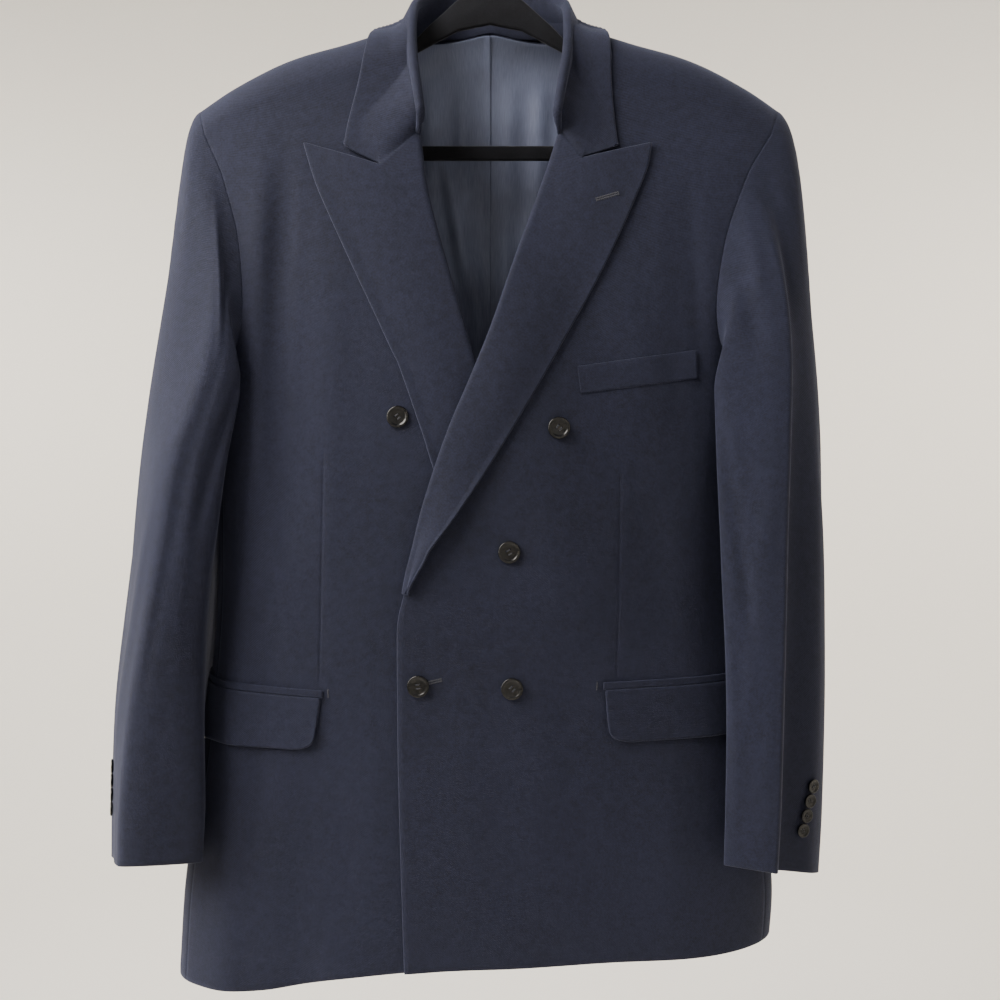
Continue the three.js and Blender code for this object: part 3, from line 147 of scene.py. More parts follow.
# Soft unevenness of the hanging cloth, only in the looks
DRAPE = table("face x lean top foot width depth",
    (1, -184, -10, -190, -640, 9, -1.6), (1, -165, -6, -190, -560, 8, 1.2),
    (1, -212, -14, -250, -700, 10, 1.4), (1, -132, -8, -280, -660, 13, 0.9),
    (1, -190, -18, -560, -900, 14, -1.6), (1, -120, -8, -700, -960, 18, -1.4),
    (1, 150, 6, -220, -420, 12, 1.4), (1, 176, 10, -230, -520, 9, -1.8),
    (1, 130, 22, -420, -640, 16, -1.3), (1, 160, 26, -520, -800, 18, 1.2),
    (1, 60, 18, -600, -900, 22, -1.2), (1, 150, 14, -700, -960, 20, 1.3),
    (1, -20, 8, -660, -940, 20, 0.9), (1, 205, -8, -440, -700, 12, -1.5),
    (-1, -170, -14, -260, -800, 16, 2.0), (-1, -60, 4, -240, -700, 14, -1.6),
    (-1, 70, -6, -250, -760, 16, 1.8), (-1, 178, 12, -280, -860, 14, -2.0),
    (-1, 20, 6, -540, -930, 18, 1.5), (-1, -100, -12, -600, -950, 20, 2.0),
    (-1, 110, 14, -640, -950, 22, 1.8),)
LINING_FOLDS = table("face x lean top foot width depth",
    (-1, -60, 4, -66, -260, 12, 8), (-1, -30, 8, -80, -330, 9, 5),
    (-1, 22, -6, -62, -280, 9, 3), (-1, 12, -26, -84, -160, 2.2, 1.6),
    (-1, 50, -6, -70, -360, 9, 4), (-1, -46, 26, -190, -345, 7, 8),
    (-1, -16, 8, -280, -480, 8, 6), (-1, 14, 4, -250, -480, 8, 5),
    (-1, 84, -8, -120, -500, 12, 5), (-1, -92, 8, -120, -500, 12, 5),)
# Creases of the sleeves: place round (0 underarm, 8 front crease, 11 top) and place down
# (0 armhole, 7 below it, 17 cuff), how they lean, their half length, width and depth
SLEEVE_CREASES = table("hand i level lean length width depth",
    (1, 8.0, 11, 0.0, 12, 0.28, 1.6), (1, 9.0, 3.2, 0.2, 3.0, 0.5, -3.0),
    (1, 6.2, 3.4, 0.5, 3.4, 0.5, -2.2), (1, 7.2, 2.2, -0.5, 2.4, 0.45, 1.6),
    (1, 5.2, 9.5, 1.2, 3.5, 0.5, -1.8), (1, 6.4, 11.5, -1.0, 3.6, 0.6, 1.3),
    (1, 4.6, 13, 0.8, 3.2, 0.5, 1.2), (1, 12.5, 10, 1.4, 3.0, 0.6, -2.0),
    (1, 14.5, 12, -1.2, 3.5, 0.7, 2.0), (1, 16.5, 8, 1.0, 3.5, 0.7, -2.0),
    (-1, 7.2, 9.5, 0.8, 6.0, 0.5, -0.7), (-1, 6.0, 11.5, -0.8, 5.0, 0.55, 0.8),
    (-1, 8.2, 10.5, 0.2, 9.0, 0.5, 0.8), (-1, 5.0, 7.8, 1.0, 2.6, 0.5, -2.6),
    (-1, 6.2, 2.6, 0.6, 2.6, 0.5, -1.8), (-1, 7.6, 3.4, -0.6, 3.0, 0.5, 1.5),
    (-1, 9.8, 12.5, 0.8, 4.0, 0.5, 1.4), (-1, 12.6, 9.5, -1.2, 3.2, 0.6, -2.0),
    (-1, 14.6, 12.5, 1.2, 3.4, 0.7, 2.0), (-1, 16.4, 9, -1.0, 3.5, 0.7, -2.0),)
LAPEL_FLARE = {1: 7.0, -1: 1.0}
CUFF = {-1: dict(z=-846, x=-310, y=-86, slope_y=0.2, slope_x=0.03),
        1: dict(z=-848, x=240, y=-96, slope_y=0.25, slope_x=0.13)}
CUFF_BLEND = 150.0


def smooth(value, start, end):
    t = np.clip((value - start) / (end - start), 0, 1)
    return t * t * (3 - 2 * t)


def lerp(a, b, t):
    return a + (b - a) * t


def bump(value, width):
    return np.exp(-(value / width) ** 2)


def points_of(x, y, z):
    return np.stack(np.broadcast_arrays(np.asarray(x, float), y, z), -1)


def unit(v):
    return v / np.maximum(np.linalg.norm(v, axis=-1, keepdims=True), 1e-9)


def spline(rows, key, column):
    """A smooth function through one column of a table, by another."""
    order = np.argsort(rows[key])
    xs, ys = rows[key][order], rows[column][order]
    after = np.minimum(np.arange(len(xs)) + 1, len(xs) - 1)
    before = np.maximum(np.arange(len(xs)) - 1, 0)
    slopes = (ys[after] - ys[before]) / (xs[after] - xs[before])

    def read(place):
        place = np.clip(place, xs[0], xs[-1])
        i = np.clip(np.searchsorted(xs, place, side="right") - 1, 0, len(xs) - 2)
        width = xs[i + 1] - xs[i]
        t = (place - xs[i]) / width
        rise, out, into = ys[i + 1] - ys[i], slopes[i] * width, slopes[i + 1] * width
        return ys[i] + t * (out + t * (3 * rise - 2 * out - into + t * (out + into - 2 * rise)))

    return read


body = {column: spline(BODY, "z", column) for column in BODY if column != "z"}
ridge_at = spline(RIDGE, "x", "z")
hem_front, hem_back = spline(HEM, "x", "front"), spline(HEM, "x", "back")
armhole = {1: spline(ARMHOLE, "z", "front"), -1: spline(ARMHOLE, "z", "back")}
neck_drop, seam_drop = spline(NECK, "x", "drop"), spline(SHOULDER_SEAM, "x", "drop")
front_edge = {1: spline(OVERLAP_EDGE, "z", "x"), -1: spline(UNDERLAP_EDGE, "z", "x")}
lapel_edge = {1: spline(LAPEL_LEFT, "z", "x"), -1: spline(LAPEL_RIGHT, "z", "x")}
gorge = {1: GORGE_LEFT, -1: GORGE_RIGHT}
turn_at = spline(RING_TURN, "i", "turn")


def hem_of(face, x):
    return hem_front(x) if face > 0 else hem_back(x)


def ridge(x):
    return ridge_at(np.sqrt(x * x + NECK_EASE ** 2))


def hang(table_of, x, z, face, ease, open_below=-1e4):
    """Folds of a table: each leans, fades in and out, and may run out over the hem."""
    push = np.zeros(np.broadcast(x, z, face).shape)
    for side, start, lean, top, foot, width, depth in zip(*table_of.values()):
        along = (top - z) / (top - foot)
        fade = smooth(along, 0, ease)
        if foot > open_below:
            fade = fade * (1 - smooth(along, 1 - ease, 1))
        push = push + (face == side) * depth * fade * bump(x - start - lean * along, width)
    return push


def folds(x, z, face):
    return hang(FOLDS, x, z, face, 0.3, open_below=-900)


def depth_of(face, z):
    return np.where(face > 0, body["front"](z), body["back"](z))


def share_out(x, z):
    """How far out x is at height z, from 0 at the centre to almost 1 at the side."""
    return np.minimum(np.abs(x - body["centre"](z)) / body["half"](z), NEVER_LEVEL)


def depth_at(x, z, face):
    square = body["square"](z)
    return depth_of(face, z) * (1 - share_out(x, z) ** square) ** (1 / square)


def shoulder(x, face):
    top = ridge(x)
    across = depth_at(x, top - ARCH, face)
    return top, np.pi / 2 * np.sqrt((ARCH ** 2 + across ** 2) / 2)


def shell(x, drop):
    """Point of the body's surface: x, and the way down from the ridge, plus is the front."""
    x, drop = np.broadcast_arrays(np.asarray(x, float), np.asarray(drop, float))
    face = np.where(drop >= 0, 1, -1)
    top, quarter = shoulder(x, face)
    way = np.abs(drop)
    turn = np.minimum(way / quarter, 1) * np.pi / 2
    z = top - ARCH * (1 - np.cos(turn)) - np.maximum(way - quarter, 0)
    level = np.minimum(z, top - ARCH)
    out = depth_at(x, level, face) * np.sin(turn) + folds(x, z, face)
    return points_of(x, body["side"](level) - face * out, z)


def drop_at(x, z, face=1):
    top, quarter = shoulder(x, face)
    below = top - z
    arc = quarter * np.arccos(1 - np.clip(below, 0, ARCH) / ARCH) / (np.pi / 2)
    return face * np.where(below >= ARCH, quarter + below - ARCH, arc)


def flank(hand, angle, z, out=0.0):
    """Point of the flank at an angle round from the side line: plus is towards the front."""
    square = body["square"](z)
    cos, sin = np.cos(angle), np.abs(np.sin(angle))
    reach = (cos ** square + sin ** square) ** (-1 / square)
    face = np.where(angle >= 0, 1, -1)
    depth = depth_of(face, z)
    x = body["centre"](z) + hand * (body["half"](z) + out) * reach * cos
    deep = (depth + out) * reach * sin + folds(x, z, face) * smooth(sin, 0.1, 0.5)
    return points_of(x, body["side"](z) - face * deep, z)


def flank_angle(x, z):
    square, share = body["square"](z), share_out(x, z)
    return np.arctan2((1 - share ** square) ** (1 / square), share)


def shell_normal(x, drop):
    reach = 1.5
    across = shell(x + reach, drop) - shell(x - reach, drop)
    along = shell(x, drop + reach) - shell(x, drop - reach)
    return -unit(np.cross(across, along))


def over(x, drop, height):
    return shell(x, drop) + shell_normal(x, drop) * np.asarray(height)[..., None]


def overlap_lift(x, z):
    """How far the left front stands off the body where it lies over the right one."""
    level = lerp(3.6, 12.0, smooth(z, -720, -600))
    past = x - front_edge[-1](np.maximum(z, FRONT_HEM_Z))
    return level * (1 - smooth(past, 8, 110))


def front_point(hand, x, drop, height=0.0):
    lift = overlap_lift(x, shell(x, drop)[..., 2]) if hand > 0 else 0.0
    return over(x, drop, lift + height + np.zeros(np.shape(x)))


def side_seam_x(hand, z):
    return body["centre"](z) + hand * body["half"](z) * SIDE_SEAM


def outer_place(hand, face, row):
    """Place of the outer edge of a front or back: the side seam, then the armhole."""
    hem_x = side_seam_x(hand, SIDE_HEM_Z)
    low = lerp(hem_of(face, hem_x), NOTCH_Z, row / BODY_ROWS)
    high = lerp(NOTCH_Z, SHOULDER_Z, (row - BODY_ROWS) / ARMHOLE_ROWS)
    z = np.where(row <= BODY_ROWS, low, high)
    return np.where(row <= BODY_ROWS, side_seam_x(hand, z), body["centre"](z) + hand * armhole[face](z)), z


def top_drop(x):
    return np.where(np.abs(x) < NECK_X, neck_drop(np.abs(x)), seam_drop(np.abs(x)))


def toward_top(row):
    return 1 - (1 - np.clip((row - BODY_ROWS) / ARMHOLE_ROWS, 0, 1)) ** 1.4


def front_places(hand, row, t):
    """Place of a front at its rows: t goes from 0 at the front edge to 1 at the side."""
    edge = front_edge[hand]
    held = np.minimum(row, HELD_ROW)
    last = row - held

    def inner_of(r):
        meet = NOTCH_Z + 8
        z = np.where(r <= BODY_ROWS, lerp(hem_front(edge(FRONT_HEM_Z)), meet, r / BODY_ROWS),
                     lerp(meet, NECK_POINT_Z, toward_top(r)))
        rolled = smooth(z, BREAK_Z - 20, BREAK_Z + 30) * (1 - smooth(z, -190, -150))
        return edge(z) + hand * EDGE_INSET * rolled, z

    inner_x, inner_z = inner_of(row)
    outer_x, outer_z = outer_place(hand, 1, row)
    held_ix, held_iz = inner_of(held)
    held_ox, held_oz = outer_place(hand, 1, held)
    inner_drop = lerp(drop_at(held_ix, held_iz), top_drop(NECK_X), last)
    outer_drop = lerp(drop_at(held_ox, held_oz), top_drop(outer_x), last)
    high = smooth(row / TOTAL_ROWS, 0.72, 1)
    lower = 1 - np.minimum(row / 4, 1)
    x = lerp(inner_x, outer_x, t)
    bow = hem_front(x) - lerp(hem_front(inner_x), hem_front(outer_x), t)
    level = lerp(inner_z, outer_z, t) + bow * lower
    straight = lerp(inner_drop, outer_drop, t)
    return x, lerp(drop_at(x, np.minimum(level, ridge(x))), straight, high)


def back_places(hand, row, s):
    """s goes from 0 at the centre seam over 4 at the neck point to 11 at the armhole."""
    held = np.minimum(row, HELD_ROW)
    last = row - held
    neck_z = shell(0.0, top_drop(0.0))[..., 2]

    def inner_of(r):
        return np.where(r <= BODY_ROWS, lerp(hem_back(0.0), NOTCH_Z, r / BODY_ROWS),
                        lerp(NOTCH_Z, neck_z, toward_top(r)))

    inner_z = inner_of(row)
    outer_x, outer_z = outer_place(hand, -1, row)
    held_x, held_z = outer_place(hand, -1, held)
    inner_drop = lerp(drop_at(0.0, inner_of(held), -1), top_drop(0.0), last)
    outer_drop = lerp(drop_at(held_x, held_z, -1), top_drop(outer_x), last)
    high = smooth(row / TOTAL_ROWS, 0.72, 1)
    low = 1 - np.minimum(row / 5, 1)
    to_neck = NECK_X / np.abs(outer_x)
    past_neck = (s - NECK_COLUMNS) / (BACK_COLUMNS - NECK_COLUMNS)
    neckward = np.where(s <= NECK_COLUMNS, to_neck * s / NECK_COLUMNS,
                        lerp(to_neck, 1, past_neck))
    share = lerp(s / BACK_COLUMNS, neckward, smooth(row / TOTAL_ROWS, 0.6, 1))
    x = share * outer_x
    bow = hem_back(x) - lerp(hem_back(0.0), hem_back(outer_x), share)
    level = drop_at(x, lerp(inner_z, outer_z, share) + bow * low, -1)
    straight = lerp(inner_drop, outer_drop, share)
    top = top_drop(x) - lerp(top_drop(0.0), top_drop(outer_x), share)
    return x, lerp(level, straight + top, high)


def side_angle(z):
    return flank_angle(side_seam_x(1, z), z)


def side_places(hand, t, s):
    """Angle and height of a side panel: t up from the hem, s from the front seam back."""
    across = 1 - 2 * s
    hem_x = side_seam_x(hand, SIDE_HEM_Z)
    seam_z = lerp(hem_back(hem_x), hem_front(hem_x), 1 - s)
    foot = seam_z + (hem_front(hand * 284.0 - 20) - seam_z) * (1 - across ** 2)
    top = UNDERARM_Z + (NOTCH_Z - UNDERARM_Z) * across ** 2
    z = lerp(foot, top, t)
    return across * side_angle(z), z


def ring_place(hand, i):
    """Armhole seam: from the underarm round the front, over the shoulder, down the back."""
    half = SIDE_COLUMNS / 2
    face = np.where(i <= RING_HALF, 1, -1)
    step = np.where(i <= RING_HALF, i, RING - i)
    across = np.minimum(step / half, 1)
    z = UNDERARM_Z + (NOTCH_Z - UNDERARM_Z) * across ** 2
    angle = face * across * side_angle(z)
    low = flank(hand, angle, z)
    low_normal = unit(flank(hand, angle, z, 5.0) - low)
    row = np.maximum(BODY_ROWS + step - half, BODY_ROWS)
    held = np.minimum(row, HELD_ROW)
    at, normal = [], []
    for side in (1, -1):
        x, _ = outer_place(hand, side, row)
        held_x, held_z = outer_place(hand, side, held)
        drop = lerp(drop_at(held_x, held_z, side), top_drop(x), row - held)
        at.append(shell(x, drop))
        normal.append(shell_normal(x, drop))
    front = (face > 0)[..., None]
    is_low = (step <= half)[..., None]
    return (np.where(is_low, low, np.where(front, at[0], at[1])),
            unit(np.where(is_low, low_normal, np.where(front, normal[0], normal[1]))))


def soften(values):
    """Evens out a loop of vectors a little."""
    for _ in range(3):
        values = (np.roll(values, 1, 0) + 2 * values + np.roll(values, -1, 0)) / 4
    return values


SECTION = dict(rest=2, corner=2, inner=2, front=2, crease=1, valley=2, seam=2, outer=3,
               back=3, hind=3)
sleeve = {hand: {c: spline(rows, "z", c) for c in rows if c != "z"}
          for hand, rows in ((1, SLEEVE_LEFT), (-1, SLEEVE_RIGHT))}


def section(hand, z, i):
    """Points i of the level sections at heights z, both of the same shape."""
    at = {c: read(z) for c, read in sleeve[hand].items()}
    inner_angle, back_angle = flank_angle(at["inner"], z), np.radians(at["rest"])
    corner_angle = inner_angle - math.radians(9)
    named = [
        flank(hand, lerp(corner_angle, back_angle, 0.5), z, SLEEVE_GAP),
        flank(hand, corner_angle, z, SLEEVE_GAP),
        points_of(at["inner"], at["front"] + 11, z),
        points_of(lerp(at["inner"], at["crease"], 0.42), at["front"], z),
        points_of(at["crease"], at["creaseY"], z),
        points_of(at["valley"], at["valleyY"], z),
        points_of(at["seam"], at["seamY"], z),
        points_of(at["outer"], at["outerY"], z),
        points_of(at["back"], at["backY"], z),
        flank(hand, back_angle, z, SLEEVE_GAP)]
    corners = np.stack(named)
    steps = np.array(list(SECTION.values()))
    starts = np.concatenate([[0], np.cumsum(steps)])
    i = np.mod(i, RING)
    k = np.clip(np.searchsorted(starts, i, side="right") - 1, 0, len(steps) - 1)
    u = (i - starts[k]) / steps[k]
    count = len(steps)

    def pick(offset):
        index = np.mod(k + offset, count)
        return np.take_along_axis(corners, index[None, ..., None], 0)[0]

    p0, p1, p2, p3 = pick(-1), pick(0), pick(1), pick(2)
    d = [np.sqrt(np.linalg.norm(b - a, axis=-1, keepdims=True)) + 1e-6
         for a, b in ((p0, p1), (p1, p2), (p2, p3))]
    m1 = ((p1 - p0) / d[0] - (p2 - p0) / (d[0] + d[1]) + (p2 - p1) / d[1]) * d[1]
    m2 = ((p2 - p1) / d[1] - (p3 - p1) / (d[1] + d[2]) + (p3 - p2) / d[2]) * d[1]
    u = u[..., None]
    return p1 + m1 * u + (-3 * p1 + 3 * p2 - 2 * m1 - m2) * u ** 2 \
        + (2 * p1 - 2 * p2 + m1 + m2) * u ** 3


def sleeve_tube(hand, cap_rows, arm_rows, columns):
    """The whole sleeve as rows from the armhole to the cuff, columns round it."""
    i = np.arange(columns) / columns * RING
    at, normal = ring_place(hand, i)
    tangent = unit(soften(np.roll(at, -1, 0) - np.roll(at, 1, 0)))
    away = unit(np.cross(tangent, normal)) * hand
    turn = np.radians(turn_at(i))[:, None]
    leave = soften(away * np.cos(turn) + normal * np.sin(turn))
    start = at + away * SEAM * np.cos(turn / 2) + normal * (SEAM * np.sin(turn / 2) + 0.25)
    first = section(hand, np.full(columns, SLEEVE_JOIN_Z), i)
    second = section(hand, np.full(columns, SLEEVE_JOIN_Z - 20), i)
    reach = np.linalg.norm(start - first, axis=-1, keepdims=True)
    out = start + unit(leave) * np.minimum(reach * 0.4, 26)
    into = first + unit(first - second) * reach * 0.55
    t = (np.arange(cap_rows) / cap_rows)[:, None, None]
    cap = (1 - t) ** 3 * start + 3 * (1 - t) ** 2 * t * out + 3 * (1 - t) * t ** 2 * into \
        + t ** 3 * first
    z = lerp(SLEEVE_JOIN_Z, CUFF_Z, np.arange(arm_rows + 1) / arm_rows)[:, None]
    arm = section(hand, z + np.zeros((1, columns)), i[None] + np.zeros_like(z))
    cut = CUFF[hand]
    drop = cut["z"] - cut["slope_y"] * (arm[..., 1] - cut["y"]) \
        - hand * cut["slope_x"] * (arm[..., 0] - cut["x"])
    arm[..., 2] += (drop - CUFF_Z) * smooth(z, CUFF_Z + CUFF_BLEND, CUFF_Z)
    rows = np.concatenate([cap, arm])
    level = np.concatenate([lerp(0, CAP_ROWS, np.arange(cap_rows) / cap_rows),
                            lerp(CAP_ROWS, CAP_ROWS + SLEEVE_ROWS,
                                 np.arange(arm_rows + 1) / arm_rows)])
    return rows, level, i


def read_round(grid, columns):
    """Reads a closed tube's rows at fractional columns, one list of them for each row."""
    count = grid.shape[1]
    low = np.floor(columns).astype(int)
    share = (columns - low)[..., None]
    rows = np.arange(grid.shape[0])[:, None]
    return grid[rows, low % count] * (1 - share) + grid[rows, (low + 1) % count] * share


def grid_normals(points, flip):
    across = np.gradient(points, axis=1)
    along = np.gradient(points, axis=0)
    return unit(np.cross(across, along)) * flip


def hind_arm(level):
    """Place of the hind seam round the sleeve, which comes forward towards the cuff."""
    return lerp(16.5, 12.2, smooth(level, 0, CAP_ROWS + SLEEVE_ROWS - 3))


# Meshes
def hex_colour(code):
    """An sRGB hex colour as the linear numbers that a shader takes."""
    parts = [int(code[k:k + 2], 16) / 255 for k in (0, 2, 4)]
    return tuple(p / 12.92 if p <= 0.04045 else ((p + 0.055) / 1.055) ** 2.4
                 for p in parts) + (1.0,)


def linked(name, data):
    """A new object in the scene, with the mesh, curve, light or camera that it shows."""
    made = bpy.data.objects.new(name, data)
    bpy.context.scene.collection.objects.link(made)
    return made


def applied(source, *spent):
    """The mesh of an object with its modifiers applied; it and its helpers are removed."""
    graph = bpy.context.evaluated_depsgraph_get()
    mesh = bpy.data.meshes.new_from_object(source.evaluated_get(graph), depsgraph=graph)
    for thing in (source, *spent):
        bpy.data.objects.remove(thing)
    return mesh


def shade(mesh, sharp=None):
    mesh.shade_smooth()
    if sharp:
        mesh.set_sharp_from_angle(angle=math.radians(sharp))
    return mesh


def mend(mesh, flat_angle=None):
    """Joins corners that lie on each other, joins flat faces and turns all faces outwards."""
    shape = bmesh.new()
    shape.from_mesh(mesh)
    bmesh.ops.remove_doubles(shape, verts=shape.verts, dist=1e-6)
    if flat_angle:
        bmesh.ops.dissolve_limit(shape, angle_limit=flat_angle, verts=shape.verts,
                                 edges=shape.edges)
    bmesh.ops.recalc_face_normals(shape, faces=shape.faces)
    shape.to_mesh(mesh)
    shape.free()
    return mesh


def make_mesh(name, points, quads, uvs=None, triangles=()):
    """A smooth mesh object from points in millimetres and faces as corner numbers."""
    mesh = bpy.data.meshes.new(name)
    quads = np.asarray(quads, int).reshape(-1, 4)
    triangles = np.asarray(triangles, int).reshape(-1, 3)
    loops = np.concatenate([quads.ravel(), triangles.ravel()])
    starts = np.concatenate([np.arange(len(quads)) * 4,
                             len(quads) * 4 + np.arange(len(triangles)) * 3])
    mesh.vertices.add(len(points))
    mesh.vertices.foreach_set("co", (np.asarray(points) / 1000).astype(np.float32).ravel())
    mesh.loops.add(len(loops))
    mesh.loops.foreach_set("vertex_index", loops.astype(np.int32))
    mesh.polygons.add(len(starts))
    mesh.polygons.foreach_set("loop_start", starts.astype(np.int32))
    mesh.update(calc_edges=True)
    if uvs is not None:
        layer = mesh.uv_layers.new(name="cloth")
        layer.data.foreach_set("uv", np.asarray(uvs)[loops].astype(np.float32).ravel())
    mesh.validate()
    return linked(name, shade(mesh))


def dress(piece, material, slot, nodes):
    piece.data.materials.clear()
    piece.data.materials.append(material)
    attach(piece, "root")
    if nodes:
        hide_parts(*nodes)
    return piece


RIM = (0.12, 0.5, 0.88)        # steps of a rounded edge, as shares of the wall
EDGE_SWELL = 0.45              # how far it swells out, as a share of the wall


def cloth_wall(name, points, flip, thickness, normals=None):
    """A closed wall: the grid, the same grid moved in, and a rounded edge all the way round."""
    rows, columns = points.shape[:2]
    if normals is None:
        normals = grid_normals(points, flip)
    inner = points - normals * thickness
    count = rows * columns
    index = np.arange(count).reshape(rows, columns)
    outer_quads = np.stack([index[:-1, :-1], index[:-1, 1:], index[1:, 1:], index[1:, :-1]], -1)
    outer_quads = outer_quads.reshape(-1, 4)
    inner_quads = outer_quads[:, ::-1] + count
    border = np.concatenate([index[0, :], index[1:, -1], index[-1, -2::-1], index[-2:0:-1, 0]])
    flat_points, flat_normals = points.reshape(-1, 3), normals.reshape(-1, 3)
    edge = flat_points[border]
    along = unit(np.roll(edge, -1, 0) - np.roll(edge, 1, 0))
    outward = unit(np.cross(along, flat_normals[border])) * flip
    rings = [border]
    extra, extra_uv = [], []
    uv = arc_uv(points).reshape(-1, 2)
    for k, share in enumerate(RIM):
        swell = math.sin(math.pi * share) * thickness * EDGE_SWELL
        extra.append(edge - flat_normals[border] * thickness * share + outward * swell)
        extra_uv.append(uv[border])
        rings.append(2 * count + k * len(border) + np.arange(len(border)))
    rings.append(border + count)
    quads = [outer_quads, inner_quads]
    for upper, lower in zip(rings[:-1], rings[1:]):
        quads.append(np.stack([np.roll(upper, -1), upper, lower, np.roll(lower, -1)], -1))
    quads = np.concatenate(quads)
    if flip < 0:
        quads = quads[:, ::-1]
    everything = np.concatenate([flat_points, inner.reshape(-1, 3), *extra])
    return make_mesh(name, everything, quads, np.concatenate([uv, uv, *extra_uv]))


def arc_uv(points):
    """Places on the cloth in metres: along the rows, and up the columns."""
    across = np.linalg.norm(np.diff(points, axis=1), axis=-1)
    u = np.concatenate([np.zeros((len(points), 1)), np.cumsum(across, 1)], 1)
    u = u - u.mean(1, keepdims=True)
    up = np.linalg.norm(np.diff(points, axis=0), axis=-1).mean(1)
    v = np.concatenate([[0], np.cumsum(up)])[:, None] + np.zeros((1, points.shape[1]))
    return np.stack([u, v], -1) / 1000


def pull_rim(points, sides, inset=SEAM / 2):
    """Moves the sewn sides of a grid in."""
    for side in sides:
        edge, near = {"first": ((slice(None), 0), (slice(None), 1)),
                      "last": ((slice(None), -1), (slice(None), -2)),
                      "bottom": ((0,), (1,)), "top": ((-1,), (-2,))}[side]
        points[edge] += unit(points[near] - points[edge]) * inset
    return points


# Panels
# Darts of the fronts: x at the top and the foot, and how deep the seam is drawn in
DART = {-1: dict(top_x=-142, top_z=-489, foot_x=-146, foot_z=-697, depth=0.5),
        1: dict(top_x=113, top_z=-507, foot_x=109, foot_z=-690, depth=0.5)}
DART_BAND = 6.0        # millimetres on each side of a dart where the grid is fine


def side_name(hand):
    return "left" if hand > 0 else "right"


def rows_up(low_count, high_count):
    """Rows of a front or back, from the hem to the underarm and on to the shoulder."""
    return np.concatenate([np.linspace(0, BODY_ROWS, low_count)[:-1],
                           np.linspace(BODY_ROWS, TOTAL_ROWS, high_count)])[:, None]


def dart_x(hand, z):
    dart = DART[hand]
    t = np.clip((z - dart["top_z"]) / (dart["foot_z"] - dart["top_z"]), -0.6, 1.6)
    return lerp(dart["top_x"], dart["foot_x"], t)


def front_piece(hand):
    row = rows_up(112, 82)
    zero, one = np.zeros_like(row), np.ones_like(row)
    near_x, near_drop = front_places(hand, row, zero)
    far_x, _ = front_places(hand, row, one)
    height = shell(near_x, near_drop)[..., 2]
    middle = np.clip((dart_x(hand, height) - near_x) / (far_x - near_x), 0.2, 0.8)
    band = DART_BAND / np.abs(far_x - near_x)
    before, within = np.linspace(0, 1, 44)[None], np.linspace(-1, 1, 17)[None, 1:]
    after = np.linspace(0, 1, 52)[None, 1:]
    t = np.concatenate([before * (middle - band), middle + within * band,
                        lerp(middle + band, 1.0, after)], 1)
    x, drop = front_places(hand, row, t)
    z = shell(x, drop)[..., 2]
    dart = DART[hand]
    fade = smooth(z, dart["foot_z"] - 4, dart["foot_z"] + 10) \
        * (1 - smooth(z, dart["top_z"] - 24, dart["top_z"]))
    across = x - dart_x(hand, z)
    height = -dart["depth"] * fade * (bump(across, 1.1) + 0.45 * bump(across, 5))
    height = height + hang(DRAPE, x, z, 1, 0.35)
    points = front_point(hand, x, drop, height)
    pull_rim(points, ["last", "top"])
    return f"front_{side_name(hand)}_cloth", points, hand, CLOTH


def back_piece(hand):
    x, drop = back_places(hand, rows_up(90, 76), np.linspace(0, BACK_COLUMNS, 84)[None])
    z = shell(x, drop)[..., 2]
    height = hang(DRAPE, x, z, -1, 0.35) - 0.5 * bump(x, 2.5)
    points = over(x, drop, height)
    pull_rim(points, ["first", "last", "top"])
    return f"back_{side_name(hand)}_cloth", points, -hand, CLOTH


def side_piece(hand):
    t, s = np.linspace(0, 1, 100)[:, None], np.linspace(0, 1, 32)[None]
    angle, z = side_places(hand, t, s)
    points = flank(hand, angle, z)
    pull_rim(points, ["first", "last", "top"])
    return f"side_{side_name(hand)}_cloth", points, hand, CLOTH


def lining_piece(hand):
    """The lining behind the neck opening. Its right half laps a little over the left one."""
    first_row, last_column, clear_of_back = 11, 5, 0.9
    x, drop = back_places(hand, np.linspace(first_row, TOTAL_ROWS, 90)[:, None],
                          np.linspace(0, last_column, 70)[None])
    z = shell(x, drop)[..., 2]
    seam = 1.6 * smooth(x, -8, -0.5) * (hand < 0) - 0.4 * bump(x, 1.2) * (hand > 0)
    height = -CLOTH - clear_of_back + lining_folds(x, z) - seam * smooth(z, -75, -100)
    points = over(x, drop, height)
    points[:, 0, 1] -= 0.2
    pull_rim(points, ["first"])
    return f"back_lining_{side_name(hand)}_satin", points, -hand, LINING


def lining_folds(x, z):
    """Loose satin hangs in shallow folds, inwards from the back, below the label's place."""
    return np.minimum(-hang(LINING_FOLDS, x, z, -1, 0.25) * smooth(z, -120, -170), -0.0)


# Sleeves
TUBE_COLUMNS = 176


def sleeve_push(hand, i, level):
    """Creases of a sleeve: places round it (i) and down it (level), leaning, long and deep."""
    push = np.zeros(np.broadcast(i, level).shape)
    for side, at_i, at_level, lean, length, width, depth in zip(*SLEEVE_CREASES.values()):
        if side != hand:
            continue
        along = (level - at_level) / length
        fade = smooth(along, -1, -0.4) * (1 - smooth(along, 0.4, 1))
        push = push + depth * fade * bump(i - at_i - lean * along, width)
    return push


def round_normals(rows, flip):
    """Normals of a closed tube, read across its join too."""
    wrapped = np.concatenate([rows[:, -3:], rows, rows[:, :3]], 1)
    return grid_normals(wrapped, flip)[:, 3:-3]


